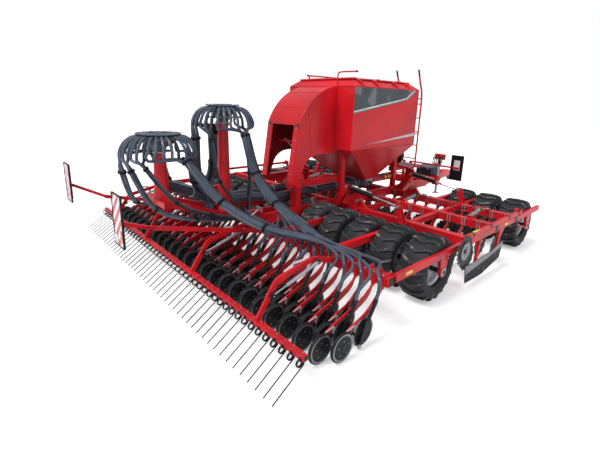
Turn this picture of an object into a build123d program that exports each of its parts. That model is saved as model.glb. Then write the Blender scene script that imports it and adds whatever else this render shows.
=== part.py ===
"""Trailed pneumatic seed drill, six metres wide, with wings that fold up.

Millimetres. X to the right, Y forward, Z up. Sizes along Y are measured from
the rear packer's axle, and the files have their origin on the ground below
the middle of the length. The drill stands unfolded.
"""

import os
from math import cos, pi

from build123d import *

# Width, rows and the fold line
HALF_WIDTH = 3000.0
SECTION_HALF = 1000.0
FOLD_X = 1000.0
FOLD_Z = 880.0
FOLD_GAP = 12.0
PIN_R = 25.0
EAR_R = 50.0
CYL_PIN_R = 18.0
ROW_PITCH = 125.0
ROWS_PER_SIDE = 24
ROWS_CENTRE_SIDE = 8

# Packer tyres
TYRE_R = 450.0
TYRE_W = 390.0
RIM_R = 235.0
RIM_W = 230.0
AXLE_R = 32.0
TYRE_PITCH = 500.0
REAR_PACKER_Y = 0.0
FRONT_PACKER_Y = 3120.0
LUGS = 7
LUG_H = 24.0
TYRE_SIDES = 2 * LUGS
RIM_SIDES = 10
RIM_DISC_X = 10.0
RIM_DISC_T = 24.0
AXLE_OVER = 225.0
AXLE_PLAY = 0.05

# Main frame
BEAM = 120.0
FRAME_Z = 640.0
FRAME_X = 500.0
SEED_BAR_Y = -1160.0
SEED_BAR_Z = 673.0
CROSS_Y = (700.0, 1640.0, 2450.0)
RAIL_LOW = 15.0
SIDE_RAIL_W = 50.0
MID_RAIL_X = 2000.0
MID_RAIL_W = 80.0
INNER_RAIL_W = 36.0
SHORT_RAIL_X = 1500.0
RAIL_FRONT_Y = 3640.0
FRONT_BAR_Y = 3760.0
DRAWBAR_Y = 5850.0
HITCH_Y = 6620.0
HITCH_Z = 500.0
HITCH_R = 26.0
EYE_R = 75.0
DRAWBAR_Z = 695.0
DRAWBAR_H = 140.0
DECK_T = 8.0
RAIL_TOP = 820.0

# Tillage discs
TILL_R = 230.0
TILL_T = 6.0
TILL_ROW_Y = (2060.0, 1270.0)
TILL_PITCH = 250.0
TILL_Z = 240.0

# Coulters
OPENER_R = 170.0
OPENER_T = 5.0
OPENER_Z = 182.0
OPENER_Y = (-1520.0, -1705.0)
PRESS_R = 165.0
PRESS_W = 46.0
PRESS_Y = (-1885.0, -2070.0)
PRESS_Z = 168.0
ARM_T = 12.0
ARM_OFF = PRESS_W / 2 + 6

# Following harrow
HARROW_Y = -2430.0
HARROW_Z = 330.0
TINE_R = 5.0
TINE_TIP_Y = -2790.0
TINE_TIP_Z = 12.0
HARROW_ARM_CENTRE = 800.0
HARROW_ARM_WING = 2250.0

# Fold cylinders
FOLD_CYL_Y = (545.0, 2590.0)
BARREL_EYE = (840.0, 1120.0)
ROD_EYE = (1900.0, 985.0)
BARREL_R = 38.0
ROD_R = 20.0
BARREL_LONG = 560.0
BARREL_START = 62.0
ROD_START = 500.0

# Distributor heads: Y, height of the plate, radius of the plate
HEAD_REAR = (-2450.0, 2110.0, 298.0)
HEAD_FRONT = (-1450.0, 2490.0, 250.0)

# Boards, marker, jack, fan
CARRIER_X = 300.0
CARRIER_TOP = 1200.0
BOARD_ARM_X = 900.0
BOARD_X = 1120.0
BOARD_Y = -3370.0
BOARD_Z = 1330.0
BOARD_W = 282.0
BOARD_H = 564.0
BOARD_T = 24.0
FRONT_BOARD_X = 1230.0
FRONT_BOARD_Z = 1190.0
MARKER_X = 3050.0
MARKER_Z = 850.0
MARKER_PIN_Y = 2400.0
MARKER_PIN_R = 16.0
MARKER_DISC_Y = 360.0
MARKER_DISC_Z = 680.0
MARKER_R = 220.0
MARKER_AXLE_R = 14.0
JACK_X = 370.0
JACK_Y = 4630.0
JACK_FOOT = 330.0
TOOLBOX_X = 80.0
TOOLBOX_Y = 4600.0
TOOLBOX_H = 240.0
RACK_X = 198.0
RACK_Y = 5000.0
RACK_TOP = 1300.0
FAN_X = 330.0
FAN_Y = 2650.0
FAN_LONG = 120.0
FAN_R = 190.0
FAN_Z = 1450.0
PIPE_R = 70.0
PIPE_Z = 985.0
PIPE_X = 240.0
METER_HALF = 130.0
BUNDLE_R = 48.0
JACK_R = 30.0
LEG_Y = (750.0, 2430.0)
STEP_Y = 2640.0
STEP_LONG = 560.0

# Hopper
HOP_HALF = 820.0
HOP_REAR = 590.0
HOP_FRONT = 2580.0
HOP_TOP = 2830.0
HOP_CREASE = 1745.0
HOP_FLOOR = 1060.0
HOP_WALL = 5.0
ROOF_RISE = 120.0
ROOF_INSET = 130.0
LID_HALF = 640.0
HOP_OUTLET_Y = 1700.0
HOP_OUTLET_HALF = 430.0
HOP_OUTLET_LONG = 120.0
HOOD_HALF = 420.0
HOOD_WALL = 8.0
HOOD_REAR_Y = -264.0
HOOD_FOOT_Y = -400.0
HOOD_LIP_Z = 2190.0
CRADLE_Z = 1240.0
LADDER_X = 160.0
LADDER_W = 520.0
LADDER_Y = 2960.0


# The middle of the whole length, from the rear boards to the towing eye.
MIDDLE_Y = (HITCH_Y + EYE_R + BOARD_Y - BOARD_T / 2) / 2


def save(name, shape):
    """Writes a node with the part's origin below the middle of its length."""
    export_step(Pos(0, -MIDDLE_Y, 0) * shape, "parts/" + name + ".step")


def box(x0, x1, y0, y1, z0, z1):
    """A block between two corners."""
    size = Box(abs(x1 - x0), abs(y1 - y0), abs(z1 - z0))
    return Pos((x0 + x1) / 2, (y0 + y1) / 2, (z0 + z1) / 2) * size


def cyl_y(x, y0, y1, z, r):
    return Pos(x, (y0 + y1) / 2, z) * Rot(90, 0, 0) * Cylinder(r, abs(y1 - y0))


def cyl_z(x, y, z0, z1, r):
    return Pos(x, y, (z0 + z1) / 2) * Cylinder(r, abs(z1 - z0))


def rod(a, b, r, sides):
    """A bar of many flats from point a to point b."""
    plane = Plane(origin=a, z_dir=(b - a))
    return extrude(plane * RegularPolygon(r, sides), (b - a).length)


def bar(p, q, wide, high):
    """A square bar from p to q, wide along X and high across it."""
    a = Vector(*p)
    b = Vector(*q)
    plane = Plane(origin=a, x_dir=(1, 0, 0), z_dir=(b - a))
    return extrude(plane * Rectangle(wide, high), (b - a).length)


def plate_x(points, x0, x1):
    """A plate in the YZ plane from x0 to x1, cut to the outline."""
    face = make_face(Polyline(*[(x0, y, z) for y, z in points], close=True).edges())
    return extrude(face, amount=abs(x1 - x0), dir=(1 if x1 > x0 else -1, 0, 0))


def group(*shapes):
    solids = []
    for shape in shapes:
        solids += list(shape.solids())
    return Compound(children=solids)


def rows(side):
    """Row positions of one section: 0 the centre, 1 right, -1 left."""
    right = [ROW_PITCH * (k + 0.5) for k in range(ROWS_PER_SIDE)]
    if side == 0:
        near = right[:ROWS_CENTRE_SIDE]
        return sorted([-x for x in near] + near)
    return sorted(side * x for x in right[ROWS_CENTRE_SIDE:])


def front_row(x):
    """True for a coulter of the front row."""
    k = round(abs(x) / ROW_PITCH - 0.5)
    even = k % 2 == 1
    return even if x > 0 else not even


def tyre_places(side, y):
    """X of each tyre: four on a rear section, three on a front wing."""
    right = [TYRE_PITCH * (k + 0.5) for k in range(6)]
    if y == FRONT_PACKER_Y:
        return sorted(side * x for x in right[3:])
    if side == 0:
        return [-right[1], -right[0], right[0], right[1]]
    return sorted(side * x for x in right[2:])


SIDES = {"centre": 0, "right": 1, "left": -1}


def span(side):
    """The X reach of a section's cross beams."""
    if side == 0:
        return -SECTION_HALF + FOLD_GAP, SECTION_HALF - FOLD_GAP
    if side == 1:
        return FOLD_X + FOLD_GAP, HALF_WIDTH - 20
    return -HALF_WIDTH + 20, -FOLD_X - FOLD_GAP


# Packers

def prism_x(x0, x1, y, z, r, sides, turn=0.0):
    """A prism along X with a regular outline of the given outer radius."""
    face = Plane.YZ * RegularPolygon(r, sides, rotation=turn)
    return Pos(x0, y, z) * extrude(face, abs(x1 - x0))


def prism_y(x, y0, y1, z, r, sides):
    face = Plane.XZ * RegularPolygon(r, sides)
    return Pos(x, max(y0, y1), z) * extrude(face, abs(y1 - y0))


def tyre_body():
    """One tyre about the origin with V lugs, its axle along X."""
    half = TYRE_W / 2
    crown = TYRE_R - LUG_H
    rings = []
    for x, r in ((-half, RIM_R + 110), (-half + 45, crown), (half - 45, crown), (half, RIM_R + 110)):
        rings.append(Pos(x, 0, 0) * (Plane.YZ * RegularPolygon(r, TYRE_SIDES, rotation=90 - 180.0 / TYRE_SIDES)))
    body = loft(rings[0:2], ruled=True) + loft(rings[1:3], ruled=True) + loft(rings[2:4], ruled=True)
    bore = prism_x(-half, half, 0, 0, RIM_R, RIM_SIDES)
    return body - bore


def lug():
    """One V lug, its arms swept back from the middle of the tread."""
    half = TYRE_W / 2 - 48
    outline = Polyline(
        (0, -58), (half, 20), (half, 58), (0, -20), (-half, 58), (-half, 20),
        close=True,
    )
    root = (TYRE_R - LUG_H) * cos(pi / TYRE_SIDES) - 2
    return Pos(0, 0, root) * extrude(make_face(outline.edges()), TYRE_R - root, dir=(0, 0, 1))


def tyre():
    body = tyre_body()
    for k in range(LUGS):
        body += Rot(180 + 360.0 / LUGS * k, 0, 0) * lug()
    return body


def rim():
    """One wheel with its rim, dished on both sides of its disc."""
    half = RIM_W / 2
    body = prism_x(-half, half, 0, 0, RIM_R - 0.3, RIM_SIDES)
    for x0, x1 in ((RIM_DISC_X + RIM_DISC_T, half), (RIM_DISC_X, -half)):
        body -= loft([
            Pos(x0, 0, 0) * (Plane.YZ * RegularPolygon(RIM_R - 60, RIM_SIDES)),
            Pos(x1, 0, 0) * (Plane.YZ * RegularPolygon(RIM_R - 22, RIM_SIDES)),
        ], ruled=True)
    return body


def packer(name, side, y, one, wheel):
    places = tyre_places(side, y)
    save("tyres_" + name, group(*[Pos(x, y, TYRE_R) * one for x in places]))
    x0, x1 = min(places) - AXLE_OVER, max(places) + AXLE_OVER
    body = prism_x(x0, x1, y, TYRE_R, AXLE_R, 8)
    for x in places:
        facing = Rot(0, 0, 180) if x < 0 else Rot(0, 0, 0)
        body += Pos(x, y, TYRE_R) * facing * wheel
    save("rims_" + name, body)


# Frame

def bore_outer(r):
    """Outer radius of a twelve sided bore that just clears a shaft."""
    return (r + AXLE_PLAY) / cos(pi / 12)


def axle_stay(x, y, wide):
    """A plate that hangs from a rail and holds the packer's axle."""
    top = FRAME_Z + RAIL_LOW + 20
    outline = [
        (y - 110, top), (y + 110, top),
        (y + 60, TYRE_R - 40), (y + 25, TYRE_R - 70),
        (y - 25, TYRE_R - 70), (y - 60, TYRE_R - 40),
    ]
    plate = plate_x(outline, x - wide / 2, x + wide / 2)
    return plate - prism_x(x - wide, x + wide, y, TYRE_R, bore_outer(AXLE_R), 12)


def fold_ear(side, y, thick, inner):
    """A hinge ear; inner ears stand on the centre and outer ones on a wing."""
    sign = -side if inner else side
    near = FOLD_X * side + sign * FOLD_GAP
    far = FOLD_X * side + sign * 170
    outline = Polyline(
        (near, FRAME_Z + BEAM - 20), (far, FRAME_Z + BEAM - 20), (far, FRAME_Z + BEAM),
        (FOLD_X * side + sign * EAR_R * 0.7, FOLD_Z + EAR_R * 0.7), (FOLD_X * side, FOLD_Z + EAR_R),
        (FOLD_X * side - sign * EAR_R * 0.7, FOLD_Z + EAR_R * 0.7), (FOLD_X * side - sign * EAR_R, FOLD_Z),
        close=True,
    )
    face = Plane.XZ * make_face(outline.edges())
    return Pos(0, y + thick / 2, 0) * extrude(face, thick)


def hinge_ears(side, y, inner):
    if inner:
        ears = fold_ear(side, y - 45, 20, True) + fold_ear(side, y + 45, 20, True)
        return ears + prism_y(FOLD_X * side, y - 55, y + 55, FOLD_Z, PIN_R, 8)
    ear = fold_ear(side, y, 60, False)
    return ear - prism_y(FOLD_X * side, y - 60, y + 60, FOLD_Z, bore_outer(PIN_R), 12)


def wing_frame(side):
    x0, x1 = sorted((side * (FOLD_X + FOLD_GAP), side * HALF_WIDTH))
    top = FRAME_Z + BEAM
    body = None
    for y in CROSS_Y:
        beam = box(x0, x1, y - BEAM / 2, y + BEAM / 2, FRAME_Z, top)
        body = beam if body is None else body + beam
    seed_face = SEED_BAR_Y + BEAM / 2
    inner = side * (FOLD_X + FOLD_GAP + INNER_RAIL_W / 2)
    outer = side * (HALF_WIDTH - SIDE_RAIL_W / 2)
    for x, wide in ((inner, INNER_RAIL_W), (side * MID_RAIL_X, MID_RAIL_W), (outer, SIDE_RAIL_W)):
        front = CROSS_Y[2] if x == inner else RAIL_FRONT_Y
        body += box(x - wide / 2, x + wide / 2, seed_face, front, FRAME_Z + RAIL_LOW, top - RAIL_LOW)
    short = side * SHORT_RAIL_X
    body += box(short - 40, short + 40, CROSS_Y[2], RAIL_FRONT_Y, FRAME_Z + RAIL_LOW, top - RAIL_LOW)
    body += axle_stay(inner, REAR_PACKER_Y, INNER_RAIL_W)
    body += axle_stay(short, FRONT_PACKER_Y, 70)
    for y in (REAR_PACKER_Y, FRONT_PACKER_Y):
        body += axle_stay(side * MID_RAIL_X, y, 50)
        body += axle_stay(outer, y, 40)
    for y in (CROSS_Y[0], CROSS_Y[2]):
        body += hinge_ears(side, y, False)
    for y in FOLD_CYL_Y:
        for off in (-30, 30):
            lug = Polyline(
                (side * (MID_RAIL_X - 40), top - 40), (side * (MID_RAIL_X + 40), top - 40),
                (side * (ROD_EYE[0] + 40), ROD_EYE[1] + 35), (side * (ROD_EYE[0] - 35), ROD_EYE[1] + 35),
                (side * (ROD_EYE[0] - 35), ROD_EYE[1] - 35),
                close=True,
            )
            face = Plane.XZ * make_face(lug.edges())
            body += Pos(0, y + off + 8, 0) * extrude(face, 16)
    for arm in till_arms(side):
        body += arm
    body += marker_seat(side)
    return body + side_plate(side)


def cylinder_lug(side, y):
    """The two plates on the centre that hold a fold cylinder's pin."""
    top = FRAME_Z + BEAM
    x, z = BARREL_EYE
    outline = Polyline(
        (side * (FRAME_X + 30), top - 20), (side * (FRAME_X + 30), top + 40),
        (side * (x - 30), z + 40), (side * (x + 35), z + 40),
        (side * (x + 35), z - 35), (side * (FRAME_X + 160), top - 20),
        close=True,
    )
    face = Plane.XZ * make_face(outline.edges())
    body = prism_y(side * x, y - 38, y + 38, z, CYL_PIN_R, 8)
    for off in (-30, 30):
        body += Pos(0, y + off + 8, 0) * extrude(face, 16)
    return body


def centre_frame():
    top = FRAME_Z + BEAM
    reach = SECTION_HALF - FOLD_GAP
    body = None
    for y in CROSS_Y:
        beam = box(-reach, reach, y - BEAM / 2, y + BEAM / 2, FRAME_Z, top)
        body = beam if body is None else body + beam
    for x in (-FRAME_X, FRAME_X):
        body += box(x - 40, x + 40, SEED_BAR_Y + BEAM / 2, FRONT_BAR_Y, FRAME_Z + RAIL_LOW, RAIL_TOP)
        body += axle_stay(x, REAR_PACKER_Y, 70)
    body += box(-30, 30, SEED_BAR_Y + BEAM / 2, CROSS_Y[0], FRAME_Z + RAIL_LOW, top - RAIL_LOW)
    body += axle_stay(0, REAR_PACKER_Y, 60)
    front0 = FRONT_BAR_Y - BEAM / 2
    body += box(-FRAME_X - 40, FRAME_X + 40, front0, front0 + BEAM, FRAME_Z + RAIL_LOW, RAIL_TOP)
    for side in (1, -1):
        for y in (CROSS_Y[0], CROSS_Y[2]):
            body += hinge_ears(side, y, True)
        for y in FOLD_CYL_Y:
            body += cylinder_lug(side, y)
    for arm in till_arms(0):
        body += arm
    return body + drawbar() + cradle() + front_boards_carrier()


def drawbar():
    """The two beams that draw together towards the tongue."""
    z = DRAWBAR_Z
    body = box(-110, 110, DRAWBAR_Y - 260, DRAWBAR_Y + 40, z - 70, z + 70)
    for x in (-1, 1):
        body += bar((x * 400, FRONT_BAR_Y, z), (x * 60, DRAWBAR_Y, z), 100, DRAWBAR_H)
    top = z + DRAWBAR_H / 2
    body += box(-330, 330, TOOLBOX_Y - 200, TOOLBOX_Y + 200, top - 4, top + DECK_T)
    x, y = JACK_X, JACK_Y
    sleeve = box(x - 110, x + 50, y - 50, y + 50, z - 150, z + DRAWBAR_H / 2)
    return body + sleeve - prism_z(x, y, z - 200, z + 200, bore_outer(JACK_R), 12)


def cradle():
    """The legs under the hopper and the rails under the hood and steps."""
    inner = tub(0)
    body = None
    for x in (-FRAME_X, FRAME_X):
        for y in LEG_Y:
            leg = box(x - 40, x + 40, y - 50, y + 50, RAIL_TOP - 10, HOP_CREASE - 60) - inner
            body = leg if body is None else body + leg
        rail0, rail1 = sorted((x * 0.74, x - 30 * x / abs(x)))
        for y0, y1 in ((HOOD_FOOT_Y - 90, LEG_Y[0]), (LEG_Y[1], STEP_Y + STEP_LONG)):
            body += box(rail0, rail1, y0, y1, CRADLE_Z - 100, CRADLE_Z)
        for y in (HOOD_FOOT_Y + 60, STEP_Y + STEP_LONG - 50):
            body += box(rail0, x + 30 * x / abs(x), y - 50, y + 50, RAIL_TOP - 10, CRADLE_Z - 50)
    step_low = CRADLE_Z - 30
    body += box(-FRAME_X + 60, LADDER_X + LADDER_W + 40, STEP_Y, STEP_Y + STEP_LONG, step_low, CRADLE_Z)
    return body


def tow_eye():
    """The towing tongue with its ring."""
    ring = cyl_z(0, HITCH_Y, HITCH_Z - 25, HITCH_Z + 25, EYE_R)
    ring += box(-45, 45, DRAWBAR_Y + 200, HITCH_Y - 40, HITCH_Z - 35, HITCH_Z + 35)
    ring += bar((0, DRAWBAR_Y + 230, HITCH_Z), (0, DRAWBAR_Y, DRAWBAR_Z), 90, 120)
    cut = box(-200, 200, DRAWBAR_Y - 400, DRAWBAR_Y + 40, 0, 1200)
    return ring - cut - cyl_z(0, HITCH_Y, HITCH_Z - 60, HITCH_Z + 60, HITCH_R)


# Tillage discs

def till_places(side, row):
    step = TILL_PITCH
    if side == 0:
        places = [step * (k + 0.5) for k in range(-4, 4)] if row == 0 else [step * k for k in range(-3, 4)]
        return places
    first = FOLD_X + step / 2 if row == 0 else FOLD_X + step
    count = 8 if row == 0 else 7
    return [side * (first + step * k) for k in range(count)]


def till_arm(x, row, away):
    y = TILL_ROW_Y[row]
    beam = CROSS_Y[2 - row]
    x0 = x + away * (TILL_T / 2 + 0.3)
    outline = [
        (beam - 40, FRAME_Z + 20), (beam - 150, FRAME_Z - 70), (y - 35, TILL_Z + 20), (y - 10, TILL_Z - 30),
        (y + 35, TILL_Z + 10), (beam - 80, FRAME_Z - 120), (beam + 40, FRAME_Z + 20),
    ]
    return plate_x(outline, x0, x0 + away * 16)


def till_arms(side):
    """The arms that hang from the cross beams, one for each disc."""
    arms = []
    for row in (0, 1):
        for x in till_places(side, row):
            arms.append(till_arm(x, row, -1 if x > 0 else 1))
    return arms


def till_discs(side):
    discs = []
    for row in (0, 1):
        for x in till_places(side, row):
            discs.append(prism_x(x - TILL_T / 2, x + TILL_T / 2, TILL_ROW_Y[row], TILL_Z, TILL_R, 10))
    return group(*discs)


# Coulters

def coulter_arm(x, row, away):
    """The arm that carries an opener disc and a press wheel."""
    hub = OPENER_Y[row]
    press = PRESS_Y[row]
    low = SEED_BAR_Z - BEAM / 2
    outline = [
        (SEED_BAR_Y + 30, low + 20), (SEED_BAR_Y - 40, low + 20), (hub + 20, OPENER_Z + 190),
        (press + 30, PRESS_Z + 60), (press - 20, PRESS_Z - 20), (hub - 40, OPENER_Z + 80),
        (hub - 15, OPENER_Z - 30), (hub + 60, OPENER_Z + 110),
    ]
    x0 = x + away * ARM_OFF
    return plate_x(outline, x0, x0 + away * ARM_T)


def coulter_bar(side):
    """The seed bar with the arms of its coulters."""
    x0, x1 = span(side)
    arms = []
    for x in rows(side):
        arms.append(coulter_arm(x, 0 if front_row(x) else 1, -1 if x > 0 else 1))
    return seed_bar(x0, x1) + arms


def seed_bar(x0, x1):
    half = BEAM / 2
    return box(x0, x1, SEED_BAR_Y - half, SEED_BAR_Y + half, SEED_BAR_Z - half, SEED_BAR_Z + half)


def openers(side):
    discs = []
    for x in rows(side):
        row = 0 if front_row(x) else 1
        away = -1 if x > 0 else 1
        near = x + away * (ARM_OFF - 0.3)
        inner, outer = sorted((near, near - away * OPENER_T))
        discs.append(prism_x(inner, outer, OPENER_Y[row], OPENER_Z, OPENER_R, 10))
    return group(*discs)


def press_wheels(side, row):
    """Press wheels of one row, each with its hub against the arm."""
    wheels = []
    for x in rows(side):
        if (0 if front_row(x) else 1) == row:
            wheel = prism_x(x - PRESS_W / 2, x + PRESS_W / 2, PRESS_Y[row], PRESS_Z, PRESS_R, 10)
            away = -1 if x > 0 else 1
            inner, outer = sorted((x, x + away * (ARM_OFF - 0.3)))
            wheels.append(wheel + prism_x(inner, outer, PRESS_Y[row], PRESS_Z, 22, 6))
    return group(*wheels)


# Following harrow

def bow(x):
    """The bowed arm from the seed bar over the press wheels to the harrow."""
    path = FilletPolyline(
        (x, SEED_BAR_Y, SEED_BAR_Z + 6),
        (x, SEED_BAR_Y - 520, SEED_BAR_Z + 160),
        (x, HARROW_Y + 240, SEED_BAR_Z + 60),
        (x, HARROW_Y, HARROW_Z + 40),
        radius=150,
    )
    start = Plane(origin=path @ 0, x_dir=(1, 0, 0), z_dir=path % 0)
    return sweep(start * Rectangle(30, 60), path=path) - seed_bar(x - 100, x + 100)


def harrow_beam(side):
    x0, x1 = span(side)
    beam = box(x0, x1, HARROW_Y - 28, HARROW_Y + 28, HARROW_Z - 28, HARROW_Z + 28)
    places = (-HARROW_ARM_CENTRE, HARROW_ARM_CENTRE) if side == 0 else (side * HARROW_ARM_WING,)
    for x in places:
        beam += bow(x)
    return beam


def tines(side):
    """One spring tine behind each row: its coil and its straight leg."""
    shapes = []
    for x in rows(side):
        coil = box(x - 20, x + 20, HARROW_Y - 50, HARROW_Y - 4, HARROW_Z - 74, HARROW_Z - 28)
        leg = bar((x, HARROW_Y - 30, HARROW_Z - 60), (x, TINE_TIP_Y, TINE_TIP_Z), 2 * TINE_R, 2 * TINE_R)
        shapes.append(coil + leg)
    return group(*shapes)


# Hopper

def tub(offset):
    """The hopper's filled form, drawn in by offset."""
    top = Pos(0, (HOP_REAR + HOP_FRONT) / 2, 0) * Rectangle(2 * (HOP_HALF - offset), HOP_FRONT - HOP_REAR - 2 * offset)
    floor = Pos(0, HOP_OUTLET_Y, 0) * Rectangle(2 * (HOP_OUTLET_HALF - offset), 2 * (HOP_OUTLET_LONG - offset))
    upper = extrude(Pos(0, 0, HOP_CREASE) * top, HOP_TOP - HOP_CREASE)
    lower = loft([Pos(0, 0, HOP_FLOOR) * floor, Pos(0, 0, HOP_CREASE) * top], ruled=True)
    roof_top = Pos(0, (HOP_REAR + HOP_FRONT) / 2, HOP_TOP + ROOF_RISE) * Rectangle(
        2 * (LID_HALF - offset), HOP_FRONT - HOP_REAR - 2 * ROOF_INSET - 2 * offset
    )
    roof = loft([Pos(0, 0, HOP_TOP) * top, roof_top], ruled=True)
    return upper + lower + roof


def hopper():
    """The hopper's sheet metal shell, open at its top."""
    return tub(0) - tub(HOP_WALL)


def lid():
    """The roll-over lid on the hopper's mouth."""
    z = HOP_TOP + ROOF_RISE + 0.3
    rim = ROOF_INSET - 15
    body = box(-LID_HALF - 15, LID_HALF + 15, HOP_REAR + rim, HOP_FRONT - rim, z, z + 22)
    for y in (HOP_REAR + 300, (HOP_REAR + HOP_FRONT) / 2, HOP_FRONT - 300):
        body += box(-LID_HALF + 60, LID_HALF - 60, y - 15, y + 15, z + 22, z + 42)
    body += cyl_y(-LID_HALF + 120, HOP_REAR + 180, HOP_FRONT - 400, z + 90, 14)
    for y in (HOP_REAR + 220, HOP_FRONT - 460):
        body += box(-LID_HALF + 110, -LID_HALF + 130, y - 10, y + 10, z + 20, z + 90)
    return body


def hood():
    """The curved hood behind the hopper, open below and at the rear."""
    wall = HOOD_WALL
    top = (HOP_REAR - 0.3, HOP_TOP)
    lip = (HOOD_REAR_Y, HOOD_LIP_Z)
    foot = (HOOD_FOOT_Y, CRADLE_Z)
    bulge = ((top[0] + lip[0]) / 2 - 70, (top[1] + lip[1]) / 2 + 130)
    curve = ThreePointArc(top, bulge, lip)
    side = [
        curve,
        Line(lip, foot),
        Line(foot, (foot[0] + 170, foot[1])),
        Line((foot[0] + 170, foot[1]), (foot[0] + 230, foot[1] + 130)),
        ThreePointArc((foot[0] + 230, foot[1] + 130), (foot[0] + 340, foot[1] + 330), (foot[0] + 580, foot[1] + 420)),
        Line((foot[0] + 580, foot[1] + 420), (HOP_REAR - 0.3, foot[1] + 420)),
        Line((HOP_REAR - 0.3, foot[1] + 420), top),
    ]
    face = Plane.YZ * make_face([e for part in side for e in part.edges()])
    outer = Pos(-HOOD_HALF, 0, 0) * extrude(face, 2 * HOOD_HALF)
    inner_side = make_face([e for part in side for e in part.edges()])
    cut = Pos(-HOOD_HALF + wall, wall, -wall) * extrude(Plane.YZ * inner_side, 2 * HOOD_HALF - 2 * wall)
    body = outer - cut
    door = box(-HOOD_HALF + 130, HOOD_HALF - 130, HOOD_FOOT_Y - 400, HOP_REAR - 300, CRADLE_Z - 10, HOOD_LIP_Z - 15)
    front = box(-HOOD_HALF + wall, HOOD_HALF - wall, HOP_REAR - 40, HOP_REAR, CRADLE_Z, HOP_TOP - 30)
    return body - door - front


def ladder():
    rails = None
    for x in (LADDER_X, LADDER_X + LADDER_W):
        path = FilletPolyline(
            (x, LADDER_Y, CRADLE_Z),
            (x, LADDER_Y, HOP_TOP - 100),
            (x, LADDER_Y - 220, HOP_TOP + 420),
            radius=260,
        )
        start = Plane(origin=path @ 0, z_dir=path % 0)
        rail = sweep(start * RegularPolygon(18, 6), path=path)
        rails = rail if rails is None else rails + rail
    for k in range(6):
        z = CRADLE_Z + 160 + 290 * k
        if z < HOP_TOP - 60:
            rails += box(LADDER_X, LADDER_X + LADDER_W, LADDER_Y - 12, LADDER_Y + 12, z - 8, z + 8)
    for z in (HOP_CREASE + 200, HOP_TOP - 160):
        for x in (LADDER_X, LADDER_X + LADDER_W):
            rails += box(x - 8, x + 8, HOP_FRONT + 0.3, LADDER_Y, z - 12, z + 12)
    return rails


def fan():
    """The blower in front of the hopper, on its foot."""
    wheel = prism_y(FAN_X, FAN_Y, FAN_Y + FAN_LONG, FAN_Z, FAN_R, 12)
    mouth = prism_y(FAN_X, FAN_Y + FAN_LONG, FAN_Y + FAN_LONG + 40, FAN_Z, FAN_R * 0.6, 12)
    foot = box(FAN_X - 90, FAN_X + 90, FAN_Y + 10, FAN_Y + FAN_LONG - 10, CRADLE_Z, FAN_Z - FAN_R * 0.7)
    return wheel + mouth + foot


def metering():
    """The two metering rollers' housings under the hopper's outlet."""
    top = HOP_FLOOR - 0.3
    y = HOP_OUTLET_Y
    body = box(-HOP_OUTLET_HALF, HOP_OUTLET_HALF, y - 100, y + 100, top - 60, top)
    for x in (-1, 1):
        body += box(x * 90, x * HOP_OUTLET_HALF, y - METER_HALF, y + METER_HALF, PIPE_Z - PIPE_R - 10, top - 60)
    return body


# Air and seed lines

def head(place):
    """A distributor head: a wide plate on a drum on a cone."""
    y, z, r = place
    plate = prism_z(0, y, z - 14, z, r, 16)
    plate += prism_z(0, y, z - 110, z - 14, r - 35, 16)
    plate += cone_z(y, z - 260, z - 110, 80, r - 60)
    return plate


def cone_z(y, z0, z1, r0, r1):
    """A tapered prism with twelve sides, upright at x 0."""
    ends = [Pos(0, y, z0) * RegularPolygon(r0, 12), Pos(0, y, z1) * RegularPolygon(r1, 12)]
    return loft(ends, ruled=True)


def tower(place, foot_z):
    y, z, r = place
    return cone_z(y, foot_z, z - 260.3, 105, 78)


def rear_carrier():
    """The arms behind the seed bar that carry both distributor towers."""
    back = SEED_BAR_Y - BEAM / 2 - 0.3
    front_y = HEAD_FRONT[0]
    rear_y = HEAD_REAR[0]
    body = box(-CARRIER_X - 40, CARRIER_X + 40, front_y - 110, back, SEED_BAR_Z + 90, SEED_BAR_Z + 120)
    for x in (-CARRIER_X, CARRIER_X):
        body += box(x - 30, x + 30, back - 60, back, SEED_BAR_Z - 50, SEED_BAR_Z + 100)
        body += bar((x, back - 40, SEED_BAR_Z + 60), (x, rear_y + 60, CARRIER_TOP - 60), 60, 90)
    body += box(-CARRIER_X - 30, CARRIER_X + 30, rear_y - 110, rear_y + 110, CARRIER_TOP - 80, CARRIER_TOP)
    body += tower(HEAD_FRONT, SEED_BAR_Z + 110)
    body += tower(HEAD_REAR, CARRIER_TOP - 10)
    return body


def board_arms():
    """The long arms that hold the rear warning boards, one a side."""
    shapes = []
    for s in (-1, 1):
        x = s * BOARD_ARM_X
        back = SEED_BAR_Y - BEAM / 2 - 0.3
        arm = box(x - 25, x + 25, back - 60, back, SEED_BAR_Z - 40, SEED_BAR_Z + 50)
        arm += bar((x, back - 30, SEED_BAR_Z + 20), (x, BOARD_Y + 420, BOARD_Z - 230), 40, 50)
        arm += bar((x, BOARD_Y + 440, BOARD_Z - 237), (s * BOARD_X, BOARD_Y + 36, BOARD_Z - 40), 40, 40)
        arm += box(s * BOARD_X - 20, s * BOARD_X + 20, BOARD_Y + 12.3, BOARD_Y + 40, BOARD_Z - 250, BOARD_Z + 250)
        shapes.append(arm)
    return shapes


def boards():
    """Two rear and two front warning boards, tall plates with bare faces."""
    shapes = []
    for s in (-1, 1):
        shapes.append(board_plate(s * BOARD_X, BOARD_Y, BOARD_Z))
        shapes.append(board_plate(s * FRONT_BOARD_X, FRONT_BAR_Y + 40, FRONT_BOARD_Z))
    return group(*shapes)


def board_plate(x, y, z):
    return box(x - BOARD_W / 2, x + BOARD_W / 2, y - BOARD_T / 2, y + BOARD_T / 2, z - BOARD_H / 2, z + BOARD_H / 2)


def tube(points, radius, bend, sides):
    """A line with straight runs and round bends, flat sided outside."""
    path = FilletPolyline(*points, radius=bend)
    start = Plane(origin=path @ 0, z_dir=path % 0)
    return sweep(start * RegularPolygon(radius, sides), path=path)


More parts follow.
